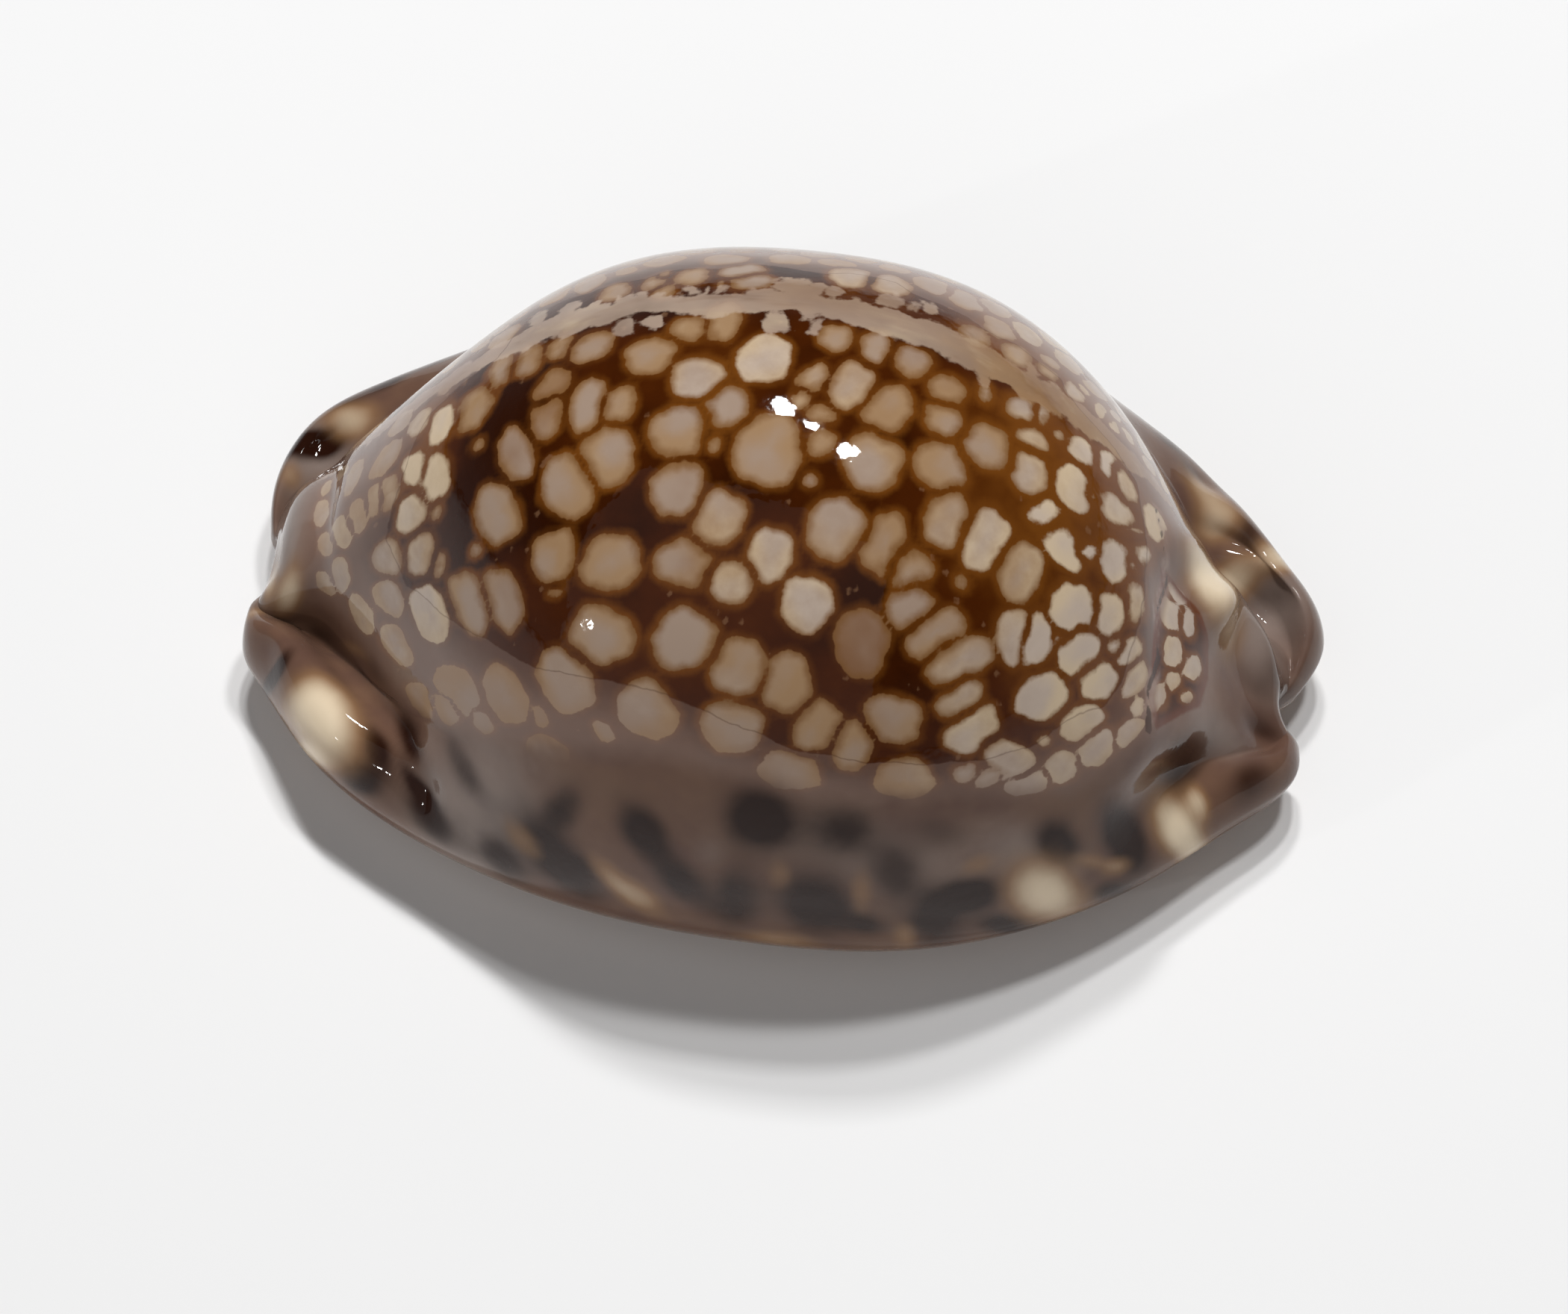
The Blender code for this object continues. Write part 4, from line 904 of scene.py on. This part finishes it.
class Enamel:
    """The glossy enamel of the whole shell, painted layer by layer. Distances to edges are in millimetres, and
    the scales of the noises are per metre."""

    def __init__(self, colours):
        self.material = bpy.data.materials.new("cowrie_enamel")
        self.material.use_nodes = True
        self.tree = self.material.node_tree
        self.paint = {name: (*getattr(colours, name), 1) for name in colours.__annotations__}
        self.place = self.node("ShaderNodeTexCoord").outputs["Object"]
        self.grain = self.noise(self.place, 2600, 2)
        self.fine = self.noise(self.place, 1100, 3)
        self.medium = self.noise(self.place, 420, 3)
        self.cloud = self.noise(self.place, 190, 3, 0.6)
        self.broad = self.noise(self.place, 90, 3)

    def put(self, socket, value):
        """Link a socket, or set its value."""
        if isinstance(value, bpy.types.NodeSocket):
            self.tree.links.new(value, socket)
        else:
            socket.default_value = value

    def node(self, kind, inputs=None, **settings):
        """A node with its settings and inputs."""
        node = self.tree.nodes.new(kind)
        for name, value in settings.items():
            setattr(node, name, value)
        for name, value in (inputs or {}).items():
            self.put(node.inputs[name], value)
        return node

    def field(self, name):
        """A marking of the mesh."""
        return self.node("ShaderNodeAttribute", attribute_name=name).outputs["Fac"]

    def math(self, operation, a, b=0.0, c=0.0):
        """An operation on up to three values."""
        return self.node("ShaderNodeMath", {0: a, 1: b, 2: c}, operation=operation).outputs[0]

    def times(self, a, b):
        """Product of two values."""
        return self.math("MULTIPLY", a, b)

    def add(self, value, *others):
        """A value with others added to it, each given with its share."""
        for other, share in others:
            value = self.math("MULTIPLY_ADD", other, share, value)
        return value

    def step(self, value, low, high):
        """Smooth step of a value from 0 at low to 1 at high."""
        return self.node("ShaderNodeMapRange", {"Value": value, "From Min": low, "From Max": high},
                         interpolation_type="SMOOTHSTEP").outputs["Result"]

    def mix(self, share, below, above):
        """Mix of two colours, each given as a socket or as the name of a paint."""
        below, above = (self.paint[c] if isinstance(c, str) else c for c in (below, above))
        return self.node("ShaderNodeMix", {"Factor": share, 6: below, 7: above}, data_type="RGBA").outputs[2]

    def noise(self, place, scale, detail, roughness=0.55):
        """Cloudy noise round 0, about 1 either way."""
        node = self.node("ShaderNodeTexNoise", {"Vector": place, "Scale": scale, "Detail": detail,
                                                "Roughness": roughness})
        return self.math("MULTIPLY_ADD", node.outputs["Fac"], 2.0, -1.0)

    def spots(self):
        """Distance to the nearest spot's uneven edge, and the colour of the spots. A thread of the net keeps
        neighbours apart."""
        thread = self.add(0.56, (self.medium, 0.2), (self.cloud, 0.25))
        thread = self.times(self.math("SUBTRACT", thread, self.field("gap")), 0.5)
        ragged = self.add(-0.10, (self.grain, 0.06), (self.fine, 0.2), (self.medium, 0.12))
        edge = self.math("ADD", self.math("SMOOTH_MAX", self.field("spot"), thread, 0.25), ragged)
        tone = self.add(self.field("tone"), (self.cloud, 0.6))
        milky = self.add(0.0, (self.noise(self.place, 240, 1), 1.6), (edge, -0.5))
        plain = self.mix(self.step(milky, -0.2, 0.9), "spot", "blue_spot")
        bright = self.mix(self.step(milky, -0.3, 0.9), "bright_spot", "milky_spot")
        pale = self.mix(self.step(self.add(tone, (self.fine, 0.3)), 0.1, 1.3), plain, bright)
        pale = self.mix(self.step(tone, -0.05, -0.9), pale, "dull_spot")
        rim_width = self.add(-0.6, (self.step(tone, 0.1, 1.1), 0.36))
        rim = self.times(self.times(self.step(edge, rim_width, 0.05), 0.9),
                         self.step(self.field("bare"), -2.2, 0.4))
        return edge, self.mix(rim, pale, "spot_edge")

    def net(self, edge):
        """The net, golden where it is thin, with an amber edge against the spots and tiny pale specks."""
        golden = self.field("golden")
        thick = self.add(self.math("SUBTRACT", self.field("deep"), golden), (self.cloud, 0.45),
                         (self.medium, 0.35))
        net = self.mix(self.step(thick, -0.3, 0.6), "net", "deep_net")
        net = self.mix(self.times(self.step(thick, -0.1, -1.1), 0.75), net, "amber")
        rim = self.add(0.5, (golden, 0.45), (self.medium, 0.2))
        near_spot = self.math("SUBTRACT", 1.0, self.math("DIVIDE", edge, rim))
        glow = self.step(self.add(0.42, (golden, 0.5), (self.cloud, 0.9)), -0.2, 0.9)
        net = self.mix(self.times(self.step(near_spot, 0.0, 1.0), glow), net, "amber")
        speck = self.step(self.add(self.field("speck"), (self.grain, 0.08)), 0.05, -0.06)
        return self.mix(self.times(speck, 0.5), net, "dull_spot")

    def mantle_line(self, back):
        """The back under the mantle line, a scalloped smear that lets a little of the pattern through."""
        smear = self.add(self.field("line"), (self.medium, 0.9), (self.fine, 0.55))
        drawn = self.node("ShaderNodeMapping", {"Vector": self.place, "Scale": (0.22, 1, 1)})
        streak = self.noise(drawn.outputs["Vector"], 520, 3)
        tan = self.add(self.field("golden"), (self.cloud, 0.5))
        line = self.mix(self.step(tan, 0.0, 0.9), "line", "spot")
        line = self.mix(self.times(self.step(streak, 0.0, 0.6), 0.7), line, "bright_spot")
        line = self.mix(self.times(self.step(streak, -0.15, -0.6), 0.6), line, "dull_spot")
        cover = self.times(self.step(smear, 0.12, -0.2), self.add(0.68, (self.cloud, 0.5)))
        return self.mix(cover, back, line)

    def under_painted_reflection(self, back, edge):
        """The back under a painted reflection of the bright room, a pale mauve veil outside its bare middle,
        thickened by the milky marks and ending in a fine dark line.
        """
        bare = self.add(self.field("bare"), (self.fine, 0.12), (self.medium, 0.28))
        cover = self.add(0.22, (self.step(bare, 0.0, -3.0), 0.34), (self.field("milky"), 0.25))
        cover = self.times(cover, self.step(bare, 0.05, -0.05))
        cover = self.times(cover, self.add(1.0, (self.step(edge, 0.06, -0.06), -0.5)))
        reflection_edge_line = self.times(self.step(self.math("ABSOLUTE", bare), 0.08, 0.0), 0.4)
        return self.mix(reflection_edge_line, self.mix(cover, back, "reflection_mauve"), "net")

    def spire(self, back, edge, pale):
        """The back with the spire's own fine net."""
        spire = self.add(self.field("spire"), (self.medium, 0.2))
        net = self.mix(self.step(edge, 0.02, 0.5), "amber", "net")
        net = self.mix(self.step(edge, 0.05, -0.07), net, pale)
        net = self.mix(self.step(spire, 0.7, 0.05), net, "spire_edge")
        return self.mix(self.step(spire, -0.1, 0.12), back, net)

    def seam(self, back):
        """The back with the seam in front of the spire, a dark thread between pale flakes."""
        seam = self.add(self.field("seam"), (self.medium, 0.15), (self.cloud, 0.3))
        flakes = self.times(self.step(seam, 0.5, 0.2), self.step(self.medium, -0.2, 0.4))
        thread = self.times(self.step(seam, 0.10, 0.02), 0.75)
        # The pale flakes share the mauve of the painted reflection.
        return self.mix(thread, self.mix(flakes, back, "reflection_mauve"), "deep_net")

    def callus(self):
        """Callus of the margins, clouded, with blurred dark marks and cream patches in a tan halo. A few dark
        marks at the spire end are painted shade in hollows and under a lobe.
        """
        callus = self.mix(self.step(self.cloud, -0.6, 0.6), "callus", "warm_callus")
        milky = self.step(self.add(self.field("milky"), (self.cloud, 0.3)), 0.0, 1.0)
        callus = self.mix(milky, callus, "milky_callus")
        dark = self.add(self.field("dark"), (self.cloud, 0.28), (self.broad, 0.34))
        callus = self.mix(self.step(dark, 0.03, 0.72), callus, "dark_mark_and_shade")
        cream = self.add(self.field("pale"), (self.cloud, 0.14))
        callus = self.mix(self.times(self.step(cream, 0.06, 0.5), 0.85), callus, "halo")
        return self.mix(self.step(cream, 0.30, 0.95), callus, "pale_mark")

    def underside(self, skin):
        """The skin with its base, teeth and cavity."""
        base = self.mix(self.step(self.field("stain"), 0.15, 0.7), "base", "base_mark")
        base = self.mix(self.times(self.step(self.broad, -0.2, 0.6), 0.3), base, "warm_callus")
        skin = self.mix(self.field("under"), skin, base)
        skin = self.mix(self.step(self.field("tooth"), 0.35, 0.9), skin, "teeth")
        return self.mix(self.field("hollow"), skin, "cavity")

    def finished(self):
        """The material with every layer in place."""
        edge, pale = self.spots()
        back = self.mix(self.step(edge, 0.06, -0.06), self.net(edge), pale)
        back = self.under_painted_reflection(self.mantle_line(back), edge)
        back = self.seam(self.spire(back, edge, pale))
        netted = self.add(self.field("netted"), (self.cloud, 0.8))
        skin = self.underside(self.mix(self.step(netted, 1.3, -0.9), back, self.callus()))
        ripple = self.node("ShaderNodeBump", {"Strength": RIPPLE_STRENGTH, "Distance": RIPPLE_HEIGHT,
                                              "Height": self.add(self.medium, (self.broad, 2.0))})
        surface = self.tree.nodes["Principled BSDF"]
        for name, value in {"Base Color": skin, "Coat Normal": ripple.outputs["Normal"], **GLOSS}.items():
            self.put(surface.inputs[name], value)
        return self.material


class COWRIE_OT_shell(bpy.types.Operator):
    """Adds the cowrie shell in place of its plain solid"""

    bl_idname = "cowrie.add_shell"
    bl_label = "Add shell"

    def execute(self, context):
        scene = context.scene
        mesh = make_skin(scene.cowrie_sizes)
        mesh.materials.append(Enamel(scene.cowrie_colours).finished())
        shell = bpy.data.objects.new("cowrie_shell", mesh)
        scene.collection.objects.link(shell)
        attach(shell, "root")
        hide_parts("shell")
        return {"FINISHED"}


def aimed_light(scene, name, place, size, power):
    """A light of the given length and width that faces the shell."""
    lamp = bpy.data.lights.new(name, "AREA")
    lamp.shape = "RECTANGLE"
    lamp.size, lamp.size_y = size
    lamp.energy = power
    light = bpy.data.objects.new(name, lamp)
    light.location = place
    light.rotation_euler = (Vector(LIT_PLACE) - Vector(place)).to_track_quat("-Z", "Y").to_euler()
    scene.collection.objects.link(light)


def pale_floor(scene, studio):
    """A wide matt floor."""
    sheet = bmesh.new()
    bmesh.ops.create_grid(sheet, x_segments=1, y_segments=1, size=FLOOR_HALF_SIZE)
    mesh = bpy.data.meshes.new("floor")
    sheet.to_mesh(mesh)
    sheet.free()
    material = bpy.data.materials.new("matt_floor")
    material.use_nodes = True
    surface = material.node_tree.nodes["Principled BSDF"]
    for name, value in {"Base Color": (*studio.floor, 1), **MATT}.items():
        surface.inputs[name].default_value = value
    mesh.materials.append(material)
    floor = bpy.data.objects.new("floor", mesh)
    scene.collection.objects.link(floor)


def studio_air(scene, studio):
    """A room that is brighter at the horizon than overhead."""
    world = bpy.data.worlds.new("studio_air")
    world.use_nodes = True
    tree = world.node_tree
    air = tree.nodes["Background"]
    heading = tree.nodes.new("ShaderNodeTexCoord")
    split = tree.nodes.new("ShaderNodeSeparateXYZ")
    rise = tree.nodes.new("ShaderNodeMapRange")
    rise.interpolation_type = "SMOOTHSTEP"
    for name, value in {"From Min": 0.0, "From Max": DARK_FROM, "To Min": studio.surroundings,
                        "To Max": studio.overhead}.items():
        rise.inputs[name].default_value = value
    tree.links.new(heading.outputs["Generated"], split.inputs[0])
    tree.links.new(split.outputs["Z"], rise.inputs["Value"])
    tree.links.new(rise.outputs["Result"], air.inputs["Strength"])
    air.inputs["Color"].default_value = AIR_COLOUR
    scene.world = world
    scene.view_settings.view_transform = "Standard"


def aimed_camera(scene, studio):
    """The camera that looks down on the shell from the columella side."""
    lens = bpy.data.cameras.new("camera")
    lens.sensor_width = SENSOR_WIDTH
    lens.lens = SENSOR_WIDTH / 2 / math.tan(studio.view_field / 2)
    lens.clip_start = CLIP_START
    camera = bpy.data.objects.new("camera", lens)
    away = Vector((math.cos(studio.view_elevation) * math.sin(studio.view_azimuth),
                   -math.cos(studio.view_elevation) * math.cos(studio.view_azimuth),
                   math.sin(studio.view_elevation)))
    camera.location = Vector(AIMED_AT) + away * studio.view_distance
    camera.rotation_euler = (-away).to_track_quat("-Z", "Y").to_euler()
    scene.collection.objects.link(camera)
    scene.camera = camera


class COWRIE_OT_studio(bpy.types.Operator):
    """Adds the floor, the lights and the camera"""

    bl_idname = "cowrie.add_studio"
    bl_label = "Add studio"

    def execute(self, context):
        scene = context.scene
        studio = scene.cowrie_studio
        pale_floor(scene, studio)
        studio_air(scene, studio)
        for name, place, size, setting, share in LIGHTS:
            aimed_light(scene, name, place, size, getattr(studio, setting) * share)
        aimed_camera(scene, studio)
        return {"FINISHED"}


class COWRIE_PT_panel(bpy.types.Panel):
    """Sizes and colours of the shell and its studio."""

    bl_idname = "COWRIE_PT_panel"
    bl_label = "Cowrie shell"
    bl_space_type = "VIEW_3D"
    bl_region_type = "UI"
    bl_category = "Cowrie"

    def draw(self, context):
        scene = context.scene
        for title, group in (("Sizes", scene.cowrie_sizes), ("Colours", scene.cowrie_colours),
                             ("Studio", scene.cowrie_studio)):
            box = self.layout.box()
            box.label(text=title)
            for name in group.__annotations__:
                box.prop(group, name)
        self.layout.operator(COWRIE_OT_shell.bl_idname)
        self.layout.operator(COWRIE_OT_studio.bl_idname)


CLASSES = (ShellSizes, ShellColours, StudioSettings, COWRIE_OT_shell, COWRIE_OT_studio, COWRIE_PT_panel)


def register():
    for item in CLASSES:
        bpy.utils.register_class(item)
    bpy.types.Scene.cowrie_sizes = PointerProperty(type=ShellSizes)
    bpy.types.Scene.cowrie_colours = PointerProperty(type=ShellColours)
    bpy.types.Scene.cowrie_studio = PointerProperty(type=StudioSettings)


def unregister():
    del bpy.types.Scene.cowrie_studio
    del bpy.types.Scene.cowrie_colours
    del bpy.types.Scene.cowrie_sizes
    for item in reversed(CLASSES):
        bpy.utils.unregister_class(item)


def main():
    register()
    bpy.ops.cowrie.add_shell()
    bpy.ops.cowrie.add_studio()


if __name__ == "__main__":
    main()
